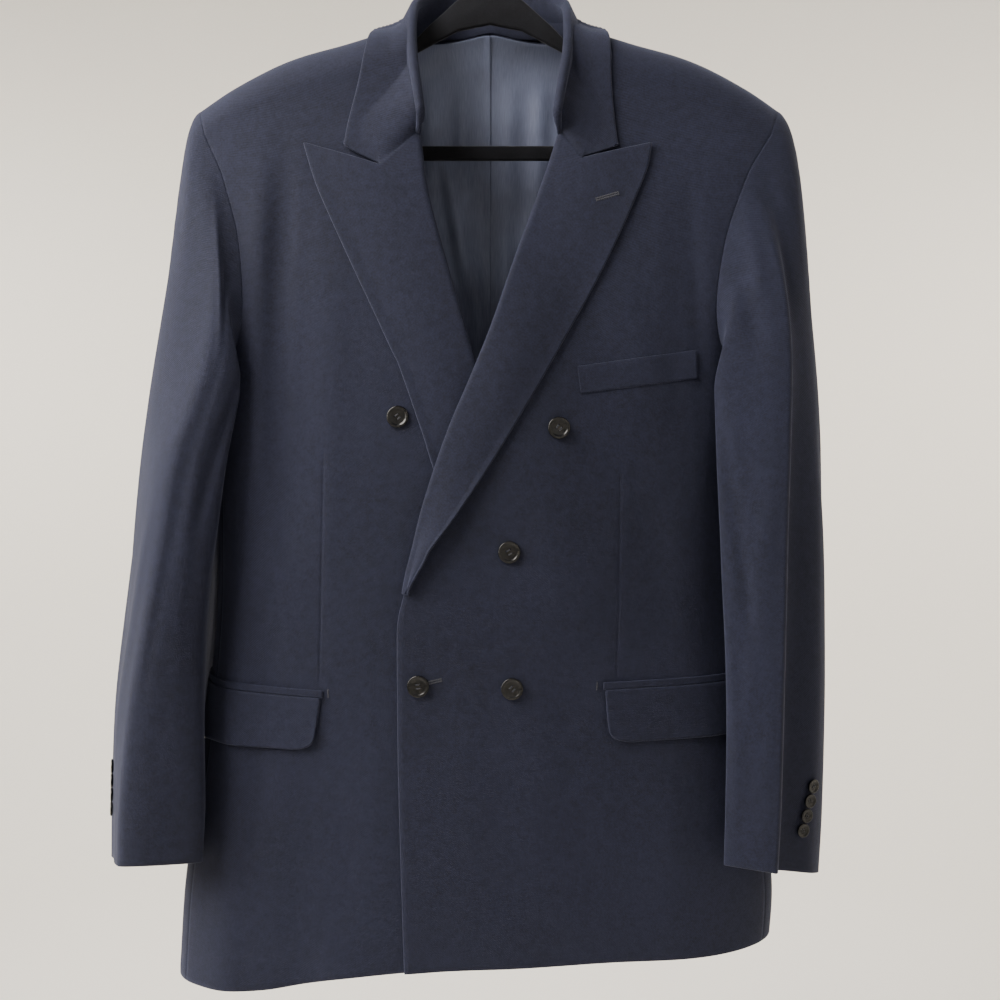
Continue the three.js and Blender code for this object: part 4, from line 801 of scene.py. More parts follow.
def sleeve_pieces(hand):
    """Top and under sleeve, cut from one tube along the front and the hind seam."""
    rows, level, i = sleeve_tube(hand, 52, 116, TUBE_COLUMNS)
    push = sleeve_push(hand, i[None], level[:, None])
    rows = rows + round_normals(rows, -hand) * push[..., None]
    normals = round_normals(rows, -hand)
    front_seam, hind_seam = 2.0, hind_arm(level)[:, None]
    scale = TUBE_COLUMNS / RING
    top = lerp(front_seam, hind_seam, np.linspace(0, 1, 92)[None]) * scale
    under = lerp(hind_seam, RING + front_seam, np.linspace(0, 1, 74)[None]) * scale
    made = []
    for part, columns in (("top", top), ("under", under)):
        points, turns = read_round(rows, columns), unit(read_round(normals, columns))
        pull_rim(points, ["first", "last"], SEAM * 0.8)
        made.append((f"{part}_sleeve_{side_name(hand)}_cloth", points, -hand, CLOTH, turns))
    return made, rows, normals


# Lapels and collar
LAPEL_NOTCH = 1 / 3            # share of the lapel's width where the collar ends
LAPEL_ACROSS = np.unique(np.concatenate([np.linspace(0, 1, 56), [LAPEL_NOTCH]]))
LAPEL_NOTCH_COLUMN = int(np.argmin(np.abs(LAPEL_ACROSS - LAPEL_NOTCH)))
ROLL_COLUMNS = 19              # columns of a lapel that go under it and round its roll


def lapel_places(hand, t, s):
    """Place of a lapel: t up the roll line, s from the roll out to the edge."""
    edge, cut = front_edge[hand], gorge[hand]
    foot = BREAK_Z + 14
    inner_z = lerp(foot, GORGE_Z, t)
    inner_x = edge(inner_z) + hand * EDGE_INSET
    outer_z = lerp(foot, cut["z"][2], t)
    outer_x = lapel_edge[hand](outer_z)
    outer_x = hand * np.maximum(hand * outer_x, hand * inner_x + 1 + 9 * smooth(t, 0, 0.09))
    x, z = lerp(inner_x, outer_x, s), lerp(inner_z, outer_z, s)
    bend = smooth(t, 0.8, 1)
    low = np.clip(s / LAPEL_NOTCH, 0, 1)
    high = np.clip((s - LAPEL_NOTCH) / (1 - LAPEL_NOTCH), 0, 1)
    start_x = cut["x"][0] + hand * EDGE_INSET
    bent_x = np.where(s <= LAPEL_NOTCH, lerp(start_x, cut["x"][1], low),
                      lerp(cut["x"][1], cut["x"][2], high))
    bent_z = np.where(s <= LAPEL_NOTCH, lerp(cut["z"][0], cut["z"][1], low),
                      lerp(cut["z"][1], cut["z"][2], high))
    x = x + (bent_x - lerp(start_x, cut["x"][2], s)) * bend
    return x, z + (bent_z - lerp(cut["z"][0], cut["z"][2], s)) * bend


def lapel_piece(hand):
    t = np.linspace(0, 1, 150)[:, None]
    s = LAPEL_ACROSS[None]
    x, z = lapel_places(hand, t, s)
    belly = 1.6 * np.sin(np.pi * np.minimum(s * 1.15, 1)) + 0.5 * s
    flare_z, flare_width = BREAK_Z + 66, 52
    flare = LAPEL_FLARE[hand] * bump(z - flare_z, flare_width) * s ** 1.5
    height = LAPEL_REST + belly + flare
    face = front_point(hand, x, drop_at(x, z), height)
    edge_x, edge_z = x[:, :1], z[:, :1]
    tangent = unit(np.stack([np.gradient(edge_x[:, 0]), np.gradient(edge_z[:, 0])], -1))
    inward = np.stack([hand * tangent[:, 1], -hand * tangent[:, 0]], -1)[:, None]
    turn = np.concatenate([[-90.0] * 3, np.linspace(-90, 62, 17)[1:]])
    along = np.concatenate([[7.0, 4.5, 2.0], np.zeros(16)])
    away = (along - ROLL_RADIUS * np.cos(np.radians(turn)))[None]
    hook_height = (-CLOTH / 2 + ROLL_RADIUS * np.sin(np.radians(turn)))[None]
    hook_x = edge_x + inward[..., 0] * away
    hook_z = edge_z + inward[..., 1] * away
    hook = front_point(hand, hook_x, drop_at(hook_x, hook_z), hook_height + 0 * hook_x)
    points = np.concatenate([hook, face], 1)
    return f"lapel_{side_name(hand)}_cloth", points, hand, CLOTH


collar_at = {c: spline(COLLAR, "s", c) for c in COLLAR if c != "s"}
COLLAR_CORNER = {1: (112.0, -230.0), -1: (-127.0, -230.0)}
COLLAR_END = 14                # s of the collar's left end; 0 is its right end
COLLAR_LIE = 2.9               # height of the collar's fall over the cloth below it
STAND_STEPS, ROLL_STEPS = 10, 7
FALL_NOTCH = 0.6               # share of the fall where its end leaves the lapel
FALL_STEPS = np.unique(np.concatenate([np.linspace(0, 1, 34), [FALL_NOTCH]]))


def fold_line(s):
    return points_of(collar_at["fx"](s), collar_at["fy"](s), collar_at["fz"](s))


def on_body(x, drop, height):
    lift = np.where(x > 0, overlap_lift(x, shell(x, drop)[..., 2]), 0)
    return over(x, drop, lift + height)


def collar_piece():
    """Stand and fall in one piece: up from the neck seam, round the fold, down to the edge."""
    s = np.linspace(0, COLLAR_END, 236)
    at = {c: read(s) for c, read in collar_at.items()}
    fold = fold_line(s)

    def neck(place):
        return shell(collar_at["nx"](place), collar_at["nd"](place))

    way = unit(neck(np.minimum(s + 0.1, COLLAR_END)) - neck(np.maximum(s - 0.1, 0)))
    normal = shell_normal(at["nx"], at["nd"])
    seam = neck(s) - normal + unit(np.cross(way, normal)) * (CLOTH + 0.8)
    edge = on_body(at["ex"], at["ed"], COLLAR_LIE)
    tangent = unit(fold_line(np.minimum(s + 0.05, COLLAR_END))
                   - fold_line(np.maximum(s - 0.05, 0)))
    down = unit(edge - fold)
    outward = unit(np.cross(down, tangent))
    half_width, rise, swing = 2.6, 3.4, 3.0
    to_edge = fold + outward * half_width + down * rise
    to_seam = fold - outward * half_width + down * rise
    columns = [lerp(seam, to_seam, k / (STAND_STEPS - 1)) for k in range(STAND_STEPS)]
    for angle in np.linspace(-60, 60, ROLL_STEPS):
        rad = math.radians(angle)
        columns.append(fold + down * (rise - rise * math.cos(rad))
                       + outward * swing * math.sin(rad))
    middle = COLLAR_END / 2
    end, side = np.abs(s - middle) / middle, np.where(s > middle, 1, -1)
    bend = smooth(end, 0.86, 1)[:, None]
    for t in FALL_STEPS:
        control = lerp(to_edge, edge, 0.45) + outward * at["bulge"][:, None]
        fall = (1 - t) ** 2 * to_edge + 2 * (1 - t) * t * control + t * t * edge
        low, high = min(t / FALL_NOTCH, 1), max((t - FALL_NOTCH) / (1 - FALL_NOTCH), 0)
        x, z = [np.where(side > 0, left, right) for left, right in
                zip(collar_end(1, low, high), collar_end(-1, low, high))]
        lying = on_body(x, drop_at(x, z), COLLAR_LIE + 1.2 * math.sin(math.pi * t))
        fall = lerp(fall, lying, bend)
        face = np.where(fall[:, 1] < 0, 1, -1)
        drop = drop_at(fall[:, 0], fall[:, 2], face)
        turn = shell_normal(fall[:, 0], drop)
        height = ((fall - on_body(fall[:, 0], drop, 0.0)) * turn).sum(-1)
        columns.append(fall + turn * np.maximum(COLLAR_REST - height, 0)[:, None])
    points = np.stack(columns, 1)
    meet = int(np.searchsorted(FALL_STEPS, FALL_NOTCH)) + 1
    for hand in (-1, 1):
        share = (smooth(end, 0.945, 1) * (side == hand))[:, None, None]
        target = gorge_row(hand, meet)
        points[:, :len(target)] = lerp(points[:, :len(target)], target[None], share)
    return "collar_cloth", points, -1, CLOTH


def along_line(line, share):
    """Points at shares of a line's length."""
    run = np.concatenate([[0], np.cumsum(np.linalg.norm(np.diff(line, axis=0), axis=1))])
    return np.stack([np.interp(share * run[-1], run, line[:, k]) for k in range(3)], -1)


def gorge_row(hand, meet):
    """The line where the collar's end is sewn to the lapel: under, round the roll, along."""
    _, points, _, _ = lapel_piece(hand)
    last = points[-1] + unit(points[-1] - points[-4]) * 0.35
    under, roll = last[:6], last[5:ROLL_COLUMNS]
    face = last[ROLL_COLUMNS - 1:ROLL_COLUMNS + LAPEL_NOTCH_COLUMN + 1]
    return np.concatenate([along_line(under, np.linspace(0, 1, STAND_STEPS)),
                           along_line(roll, np.linspace(0.06, 0.96, ROLL_STEPS)),
                           along_line(face, np.linspace(0, 1, meet))])


def collar_end(hand, low, high):
    """x and z along the collar's end: by the lapel to the notch, then to its own corner."""
    cut, corner = gorge[hand], COLLAR_CORNER[hand]
    start, above_seam = cut["x"][0] + hand * EDGE_INSET, 2.4
    if high > 0:
        return (lerp(cut["x"][1], corner[0], high),
                above_seam + lerp(cut["z"][1], corner[1], high))
    return lerp(start, cut["x"][1], low), above_seam + lerp(cut["z"][0], cut["z"][1], low)


# Materials
def add(tree, kind, inputs=None, **settings):
    """Adds a shader node with its settings, and its inputs as values or links."""
    node = tree.nodes.new(kind)
    for key, value in settings.items():
        setattr(node, key, value)
    for key, value in (inputs or {}).items():
        if isinstance(value, bpy.types.NodeSocket):
            tree.links.new(value, node.inputs[key])
        else:
            node.inputs[key].default_value = value
    return node


def new_material(name, values):
    """A material with its shader's own values, and the place on the object to draw from."""
    material = bpy.data.materials.new(name)
    material.use_nodes = True
    tree = material.node_tree
    shader = tree.nodes["Principled BSDF"]
    for key, value in values.items():
        shader.inputs[key].default_value = value
    place = add(tree, "ShaderNodeTexCoord").outputs["Object"]
    return material, tree, shader.inputs, place


def per_metre(size):
    """How many features of a pattern fit in a metre, from the size of one in mm."""
    return round(1000 / size)


def noise(tree, place, size, detail, **inputs):
    """Noise with features of a size in mm."""
    return add(tree, "ShaderNodeTexNoise", {
        "Vector": place, "Scale": per_metre(size), "Detail": detail,
        **{key.title(): value for key, value in inputs.items()}}).outputs["Fac"]


def mix_colour(tree, share, a, b):
    node = add(tree, "ShaderNodeMix", data_type="RGBA")
    for key, value in (("Factor_Float", share), ("A_Color", a), ("B_Color", b)):
        socket = next(s for s in node.inputs if s.identifier == key)
        if isinstance(value, bpy.types.NodeSocket):
            tree.links.new(value, socket)
        else:
            socket.default_value = value
    return next(s for s in node.outputs if s.identifier == "Result_Color")


def two_tone(tree, pattern, low, dark, high, light):
    """Dark where a pattern is under low, light over high, and even between them."""
    node = add(tree, "ShaderNodeValToRGB", {"Fac": pattern})
    for stop, position, code in zip(node.color_ramp.elements, (low, high), (dark, light)):
        stop.position, stop.color = position, hex_colour(code)
    return node.outputs["Color"]


def colour_from(tree, inputs, colour):
    tree.links.new(colour, inputs["Base Color"])


def gloss_from(tree, inputs, pattern, low, high):
    gloss = add(tree, "ShaderNodeMapRange", {"Value": pattern, "To Min": low, "To Max": high})
    tree.links.new(gloss.outputs["Result"], inputs["Roughness"])


def relief_from(tree, inputs, pattern, strength, depth):
    """Bump from a pattern, with its depth in mm."""
    relief = add(tree, "ShaderNodeBump", {"Height": pattern, "Strength": strength,
                                          "Distance": depth / 1000})
    tree.links.new(relief.outputs["Normal"], inputs["Normal"])


def worsted():
    """Navy worsted twill: fine diagonal ribs of a wool yarn spun from mixed navy and grey
    fibre, so that it looks a little mottled, quite matt, with a faint fuzz at grazing angles.
    The ribs are 0.45 mm apart in the cloth and drawn 1.3 mm apart, or they wouldn't show."""
    dark, light = "0d0f18", "222539"
    rib_angle, rib_step = 58, 1.3
    bands_per_metre = 1000 / rib_step / 6.283 * 2
    material, tree, inputs, place = new_material("navy worsted twill", {
        "Roughness": 0.82, "IOR": 1.45, "Specular IOR Level": 0.22, "Sheen Weight": 0.28,
        "Sheen Roughness": 0.5, "Sheen Tint": hex_colour("8a90ac")})
    uv = add(tree, "ShaderNodeUVMap", uv_map="cloth").outputs["UV"]
    turned = add(tree, "ShaderNodeMapping", {
        "Vector": uv, "Rotation": (0, 0, math.radians(rib_angle))}).outputs["Vector"]
    rib = add(tree, "ShaderNodeTexWave", {
        "Vector": turned, "Scale": bands_per_metre, "Distortion": 1.6, "Detail": 2,
        "Detail Scale": 3.0}, wave_type="BANDS", bands_direction="X").outputs["Fac"]
    fibre = noise(tree, place, 1.613, 4, roughness=0.65)
    mottle = noise(tree, place, 6.67, 5, roughness=0.6)
    patch = noise(tree, place, 143, 3)
    colour = two_tone(tree, fibre, 0.32, dark, 0.68, light)
    for share, pattern, low, high in ((0.35, mottle, 0.35, 0.65), (0.22, rib, 0.2, 0.8),
                                      (0.10, patch, 0.4, 0.6)):
        colour = mix_colour(tree, share, colour, two_tone(tree, pattern, low, dark, high, light))
    colour_from(tree, inputs, colour)
    height = add(tree, "ShaderNodeMath", {0: rib, 1: fibre}, operation="ADD").outputs[0]
    relief_from(tree, inputs, height, 0.35, 0.3)
    return material


def satin():
    """Acetate satin lining: long smooth floats along the cloth give soft streaked highlights
    across it. Threads are drawn 0.9 mm apart."""
    material, tree, inputs, place = new_material("grey blue satin lining", {
        "Roughness": 0.55, "IOR": 1.45, "Specular IOR Level": 0.22, "Anisotropic": 0.15,
        "Sheen Weight": 0.08, "Sheen Roughness": 0.4})
    uv = add(tree, "ShaderNodeUVMap", uv_map="cloth").outputs["UV"]
    drawn_out = (1.0, 0.06, 1.0)
    along = add(tree, "ShaderNodeMapping", {"Vector": uv, "Scale": drawn_out}).outputs["Vector"]
    thread, cloud = noise(tree, along, 0.909, 2), noise(tree, place, 71, 3)
    colour_from(tree, inputs, mix_colour(
        tree, 0.5, two_tone(tree, thread, 0.3, "535971", 0.7, "6d748c"),
        two_tone(tree, cloud, 0.35, "565b70", 0.65, "6f7790")))
    relief_from(tree, inputs, thread, 0.18, 0.2)
    return material


def horn():
    """Cast polyester resin buttons, turned and tumbled: near black with faint grey-brown
    clouds, a gloss rim and a slightly duller dish."""
    material, tree, inputs, place = new_material("polished black resin", {
        "Roughness": 0.22, "IOR": 1.5, "Specular IOR Level": 0.26, "Coat Weight": 0.2,
        "Coat Roughness": 0.1})
    cloud = noise(tree, place, 8.33, 4, distortion=1.5)
    colour_from(tree, inputs, two_tone(tree, cloud, 0.35, "040405", 0.7, "121214"))
    gloss_from(tree, inputs, cloud, 0.14, 0.3)
    return material


def velvet():
    """Flocked plastic: short upright fibres, very dark, with a pale sheen at grazing angles
    and a fine pile of about half a millimetre."""
    material, tree, inputs, place = new_material("black flocked velvet", {
        "Roughness": 0.95, "IOR": 1.45, "Specular IOR Level": 0.15, "Sheen Weight": 0.7,
        "Sheen Roughness": 0.4, "Sheen Tint": hex_colour("8d8f98")})
    pile, brushed = noise(tree, place, 0.6667, 2), noise(tree, place, 25, 3)
    colour_from(tree, inputs, mix_colour(
        tree, 0.4, two_tone(tree, pile, 0.3, "08080a", 0.75, "202126"),
        two_tone(tree, brushed, 0.35, "0a0a0c", 0.7, "1b1c21")))
    relief_from(tree, inputs, pile, 0.5, 0.4)
    return material


def plated_wire():
    """Nickel-plated steel wire, drawn along its length: bright, with fine rubbed marks."""
    material, tree, inputs, place = new_material("plated steel wire", {
        "Base Color": hex_colour("c3c5c8"), "Metallic": 1.0, "Roughness": 0.22})
    rubbed = noise(tree, place, 3.33, 3)
    colour_from(tree, inputs, two_tone(tree, rubbed, 0.3, "a9abae", 0.7, "d2d4d6"))
    gloss_from(tree, inputs, rubbed, 0.16, 0.34)
    return material


def sewing_silk():
    """Twisted sewing silk: plies drawn 0.5 mm apart, with a slight lustre."""
    material, tree, inputs, place = new_material("navy sewing silk", {
        "Roughness": 0.5, "Sheen Weight": 0.3, "Specular IOR Level": 0.4})
    ply = noise(tree, place, 0.5, 2)
    colour_from(tree, inputs, two_tone(tree, ply, 0.35, "10121b", 0.65, "212432"))
    return material


# The garment
SUITING, SATIN, RESIN, VELVET, WIRE = worsted(), satin(), horn(), velvet(), plated_wire()
THREAD = sewing_silk()

SHOULDERS = ["hanger"]


def add_cloth(name, points, flip, thickness, turns=None, rests_on=SHOULDERS):
    """Makes a piece of cloth that stands for the node of its name."""
    node, cloth = name.rsplit("_", 1)
    material, slot = (SATIN, "lining") if cloth == "satin" else (SUITING, "suiting")
    piece = cloth_wall(name, points, flip, thickness, turns)
    dress(piece, material, slot, [node])
    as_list(rests_on)


tubes = {}
for hand in (-1, 1):
    for maker in (front_piece, back_piece, side_piece, lapel_piece):
        add_cloth(*maker(hand))
    add_cloth(*lining_piece(hand), rests_on=[f"back_{side_name(hand)}_cloth"])
    made, *tubes[hand] = sleeve_pieces(hand)
    for part in made:
        add_cloth(*part, rests_on=[f"front_{side_name(hand)}_cloth"])
add_cloth(*collar_piece())

# Pockets: hand, height over the front, wall, corners and radius. The corners are low inner,
# low outer, high outer, high inner, each as x, or for a flap's or jet's outer end as an angle
# in degrees, and z.
POCKETS = {
    "flap_right": (-1, 0.7, 2.2, ((-149, -751), (8, -746), (8, -697.8), (-144, -707.8)), 9),
    "flap_left": (1, 0.7, 2.2, ((101, -743), (8, -738), (8, -693.8), (98, -699.8)), 9),
    "jet_right": (-1, 0.7, 1.6, ((-142, -706), (8, -696), (8, -691), (-142, -701)), 1.2),
    "jet_left": (1, 0.7, 1.6, ((96, -698), (8, -692), (8, -687), (96, -693)), 1.2),
    "breast_welt": (1, 0.25, 0.8, ((77, -446), (180, -431), (179, -407), (75, -423)), 0.8)}


def pocket_piece(name):
    """A flap has rounded lower corners and stands off in waves; the others lie flat."""
    hand, height, thickness, corners, radius = POCKETS[name]
    wide, is_flap = name == "breast_welt", radius > 5
    angles = [flank_angle(float(a), float(z)) if wide or k in (0, 3) else math.radians(a)
              for k, (a, z) in enumerate(corners)]
    low_in, low_out, high_out, high_in = [z for _, z in corners]
    s = np.unique(np.concatenate([np.linspace(0, 1, 80), np.linspace(0, 0.1, 14)]))[None]
    t = np.linspace(0, 1, 26 if is_flap else 12)[:, None]
    lifted = np.zeros_like(s)
    if is_flap:
        length = 115.0
        from_end = np.minimum(s * length, radius)
        lifted = radius - np.sqrt(np.maximum(radius ** 2 - (radius - from_end) ** 2, 0))
    z = lerp(lerp(low_in, low_out, s) + lifted, lerp(high_in, high_out, s), t)
    angle = lerp(lerp(angles[0], angles[1], s), lerp(angles[3], angles[2], s), t)
    base = flank(hand, angle, z)
    lift = overlap_lift(base[..., 0], z) if hand > 0 else 0.0
    stand = 0.0
    if is_flap:
        stand = 2.2 * (1 - t) ** 2 * (0.45 + 0.55 * np.cos(s * 9) ** 2)
    return flank(hand, angle, z, height + thickness + lift + stand), hand, thickness


for name in POCKETS:
    points, flip, thickness = pocket_piece(name)
    add_cloth(f"{name}_cloth", points, flip, thickness,
              rests_on=[f"front_{side_name(flip)}_cloth"])


# Buttons
def ring_of(count, radius, z):
    """Points evenly round a level circle."""
    return [(radius * math.cos(turn), radius * math.sin(turn), z)
            for turn in (2 * math.pi * k / count for k in range(count))]


def neighbours(first, count):
    """Pairs of following points round a ring that starts at a number."""
    return [(first + k, first + (k + 1) % count) for k in range(count)]


# Half section of a button, from the middle of its underside over the rim to the middle of
# its dish: share of the radius, and height for a button 2.5 mm thick
BUTTON_SECTION = [(0, 0.1), (0.60, 0.1), (0.84, 0.35), (0.96, 0.85), (1.0, 1.45),
                  (0.985, 1.95), (0.94, 2.35), (0.87, 2.5), (0.80, 2.4), (0.74, 2.1),
                  (0.68, 1.75), (0.60, 1.6), (0, 1.55)]


def turned_button(width, height, hole_ring, hole):
    """A four-hole button round its own axis: gloss rim, sunk dish, four drilled holes."""
    turns, scale = 56, height / 2.5
    rings, points, quads = BUTTON_SECTION[1:-1], [], []
    for share, h in rings:
        points += ring_of(turns, width / 2 * share, h * scale)
    for r in range(len(rings) - 1):
        quads += [(a, b, b + turns, a + turns) for a, b in neighbours(r * turns, turns)]
    under, dish = len(points), len(points) + 1
    points += [(0, 0, BUTTON_SECTION[0][1] * scale), (0, 0, BUTTON_SECTION[-1][1] * scale)]
    triangles = [(b, a, under) for a, b in neighbours(0, turns)]
    triangles += [(a, b, dish) for a, b in neighbours((len(rings) - 1) * turns, turns)]
    blank = make_mesh("button_blank", points, quads, triangles=triangles)
    drills = bpy.data.meshes.new("button_drills")
    shape = bmesh.new()
    for x, y, z in [Matrix.Rotation(math.radians(45), 3, "Z") @ Vector(at)
                    for at in ring_of(4, hole_ring, 1.0)]:
        bmesh.ops.create_cone(shape, cap_ends=True, segments=14, radius1=hole / 1000,
                              radius2=hole / 1000, depth=0.01,
                              matrix=Matrix.Translation((x / 1000, y / 1000, z / 1000)))
    shape.to_mesh(drills)
    shape.free()
    cutter = linked("button_cutter", drills)
    cut = blank.modifiers.new("holes", "BOOLEAN")
    cut.operation, cut.object, cut.solver = "DIFFERENCE", cutter, "EXACT"
    return shade(applied(blank, cutter), 50)


def axes_on(normal, turn):
    """Axes of a disc that lies on the cloth, turned about its own axis."""
    z = Vector(normal).normalized()
    x = Vector((1, 0, 0))
    x = (x - z * x.dot(z)).normalized()
    axes = Matrix((x, z.cross(x), z)).transposed().to_4x4()
    return axes @ Matrix.Rotation(math.radians(turn), 4, "Z")


# A thread bar from hole to hole: place along it and rise, as shares of its half length and
# of two thread gauges
BAR_LINE = [(-1.0, -0.9), (-0.92, 0.1), (-0.6, 0.5), (0, 0.62), (0.6, 0.5), (0.92, 0.1),
            (1.0, -0.9)]


def thread_bars(ring, height, gauge):
    """Thread over a button: two worn bars between pairs of holes, as mesh points."""
    points, quads = [], []
    sides, hole = 6, ring * 0.707
    for side in (-1, 1):
        for strand in (-1, 0, 1):
            first = len(points)
            middle = side * hole + strand * gauge * 1.1
            for u, h in BAR_LINE:
                points += [(u * hole, middle + y, height + h * gauge * 2 + z)
                           for y, z, _ in ring_of(sides, gauge, 0)]
            for r in range(len(BAR_LINE) - 1):
                quads += [(a, a + sides, b + sides, b)
                          for a, b in neighbours(first + r * sides, sides)]
            last = first + (len(BAR_LINE) - 1) * sides
            for ends in ((0, 1, 2, 3), (0, 3, 4, 5)):
                quads.append([first + e for e in ends])
                quads.append([last + e for e in reversed(ends)])
    return points, quads


BUTTON_KINDS = {"front": dict(width=19.0, height=2.7, ring=2.35, hole=0.85, gauge=0.28),
                "cuff": dict(width=12.4, height=2.4, ring=1.7, hole=0.62, gauge=0.22)}
button_meshes = {kind: turned_button(size["width"], size["height"], size["ring"], size["hole"])
                 for kind, size in BUTTON_KINDS.items()}


def add_button(name, kind, at, normal, gap, turn):
    """A button and its thread at a point of the cloth, standing off it by a gap."""
    size = BUTTON_KINDS[kind]
    place = Matrix.Translation(Vector(at) / 1000) @ axes_on(normal, turn)
    place = place @ Matrix.Translation((0, 0, gap / 1000))
    mesh = button_meshes[kind].copy()
    mesh.transform(place)
    dress(linked(f"{name}_resin", mesh), RESIN, "buttons", [name])
    points, quads = thread_bars(size["ring"], size["height"] * 0.64, size["gauge"])
    sewing = make_mesh(f"{name}_thread", points, quads)
    sewing.data.transform(place)
    dress(sewing, THREAD, "suiting", [])


# Hand, x, z, gap under the button and how it is turned, in degrees
FRONT_BUTTONS = {"button_top_right": (-1, -78, -466, 0.5, 38),
                 "button_top_left": (1, 59, -476, 1.2, 52),
                 "button_middle_left": (1, 17, -581, 0.5, 30),
                 "button_fastened_right": (1, -60, -695, 0.8, 12),
                 "button_fastened_left": (1, 19.5, -697, 0.8, 47)}
for name, (hand, x, z, gap, turn) in FRONT_BUTTONS.items():
    drop = drop_at(float(x), float(z))
    at = front_point(hand, np.array(float(x)), drop)
    add_button(name, "front", at, shell_normal(float(x), drop), gap, turn)

# Lowest button of each cuff: height, place round the sleeve, and how the row leans
CUFF_LINES = {1: (-826.0, 10.3, 0.12), -1: (-810.0, 11.0, 0.0)}
CUFF_COUNT, CUFF_STEP = 4, 12.6
for hand in (-1, 1):
    rows, normals = tubes[hand]
    foot, column, lean = CUFF_LINES[hand]
    for k in range(CUFF_COUNT):
        z = foot + CUFF_STEP * k
        place = np.full((len(rows), 1), (column + lean * k) * TUBE_COLUMNS / RING)
        line, turns = read_round(rows, place)[:, 0], read_round(normals, place)[:, 0]
        low = int(np.argmax(line[:, 2] < z))
        t = (z - line[low, 2]) / (line[low - 1, 2] - line[low, 2])
        at, normal = lerp(line[low], line[low - 1], t), unit(lerp(turns[low], turns[low - 1], t))
        add_button(f"cuff_button_{side_name(hand)}_{k + 1}", "cuff", at, normal,
                   gap=0.9, turn=20 + 31 * k)


# Hand and machine stitches
def stitch_group():
    """Instances of one thread loop along a line, each laid along its own way."""
    tree = bpy.data.node_groups.new("stitches", "GeometryNodeTree")
    sockets = {name: tree.interface.new_socket(name, in_out="INPUT",
                                               socket_type="NodeSocket" + kind).identifier
               for name, kind in (("Line", "Geometry"), ("Spacing", "Float"),
                                  ("Length", "Float"), ("Gauge", "Float"),
                                  ("Unevenness", "Float"), ("Seed", "Int"),
                                  ("Thread", "Material"))}
    tree.interface.new_socket("Stitches", in_out="OUTPUT", socket_type="NodeSocketGeometry")
    given = add(tree, "NodeGroupInput").outputs
    line = add(tree, "GeometryNodeMeshToCurve", {"Mesh": given["Line"]}).outputs["Curve"]
    spaced = add(tree, "GeometryNodeResampleCurve", {"Curve": line, "Length": given["Spacing"]},
                 mode="LENGTH").outputs["Curve"]
    loop = add(tree, "GeometryNodeMeshUVSphere", {"Segments": 8, "Rings": 6, "Radius": 0.5})
    way, rise = [add(tree, "GeometryNodeInputNamedAttribute", {"Name": name},
                     data_type="FLOAT_VECTOR").outputs["Attribute"] for name in ("way", "rise")]
    turned = add(tree, "FunctionNodeAxesToRotation", {"Primary Axis": way,
                                                      "Secondary Axis": rise},
                 primary_axis="X", secondary_axis="Z").outputs["Rotation"]
    low = add(tree, "ShaderNodeMath", {0: 1.0, 1: given["Unevenness"]}, operation="SUBTRACT")
    share = next(s for s in add(tree, "FunctionNodeRandomValue", {
        2: low.outputs[0], 3: 1.0, "Seed": given["Seed"]}, data_type="FLOAT").outputs
        if s.enabled)
    long = add(tree, "ShaderNodeMath", {0: given["Length"], 1: share}, operation="MULTIPLY")
    size = add(tree, "ShaderNodeCombineXYZ", {"X": long.outputs[0], "Y": given["Gauge"],
                                              "Z": given["Gauge"]})
    placed = add(tree, "GeometryNodeInstanceOnPoints", {
        "Points": spaced, "Instance": loop.outputs["Mesh"], "Rotation": turned,
        "Scale": size.outputs[0]}).outputs["Instances"]
    solid = add(tree, "GeometryNodeRealizeInstances", {"Geometry": placed})
    sewn = add(tree, "GeometryNodeSetMaterial", {"Geometry": solid.outputs["Geometry"],
                                                 "Material": given["Thread"]})
    add(tree, "NodeGroupOutput", {"Stitches": sewn.outputs["Geometry"]})
    return tree, sockets


STITCHES, STITCH_SOCKET = stitch_group()


def sew(name, runs, spacing, length, gauge, seed):
    """Each run is a line of points in mm with the way of its stitches and the cloth's normal."""
    points, edges, way, rise = [], [], [], []
    for line, ways, normals in runs:
        first = len(points)
        points += [tuple(p) for p in line]
        way += [tuple(w) for w in ways]
        rise += [tuple(n) for n in normals]
        edges += [(first + k, first + k + 1) for k in range(len(line) - 1)]
    mesh = bpy.data.meshes.new(name + "_line")
    mesh.from_pydata([Vector(p) / 1000 for p in points], edges, [])
    for key, rows in (("way", way), ("rise", rise)):
        mesh.attributes.new(key, "FLOAT_VECTOR", "POINT").data.foreach_set(
            "vector", np.array(rows, dtype=float).ravel())
    source = linked(name + "_source", mesh)
    sewing = source.modifiers.new("sewing", "NODES")
    sewing.node_group = STITCHES
    for key, value in (("Spacing", spacing / 1000), ("Length", length / 1000),
                       ("Gauge", gauge / 1000), ("Unevenness", 0.25), ("Seed", seed),
                       ("Thread", THREAD)):
        sewing[STITCH_SOCKET[key]] = value
    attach(linked(name, shade(applied(source))), "root")


def cloth_run(place, start, end, aside, count=24):
    """Points over the cloth from start to end (x, z), shifted aside by some mm, and their
    directions along and across the line."""
    t = np.linspace(0, 1, count)
    x, z = lerp(start[0], end[0], t), lerp(start[1], end[1], t)
    line, normal = place(x, z)
    along = unit(np.gradient(line, axis=0))
    across = unit(np.cross(normal, along))
    return line + across * aside, along, across, normal


def on_front(hand):
    def place(x, z):
        drop = drop_at(x, z)
        return front_point(hand, x, drop), shell_normal(x, drop)
    return place


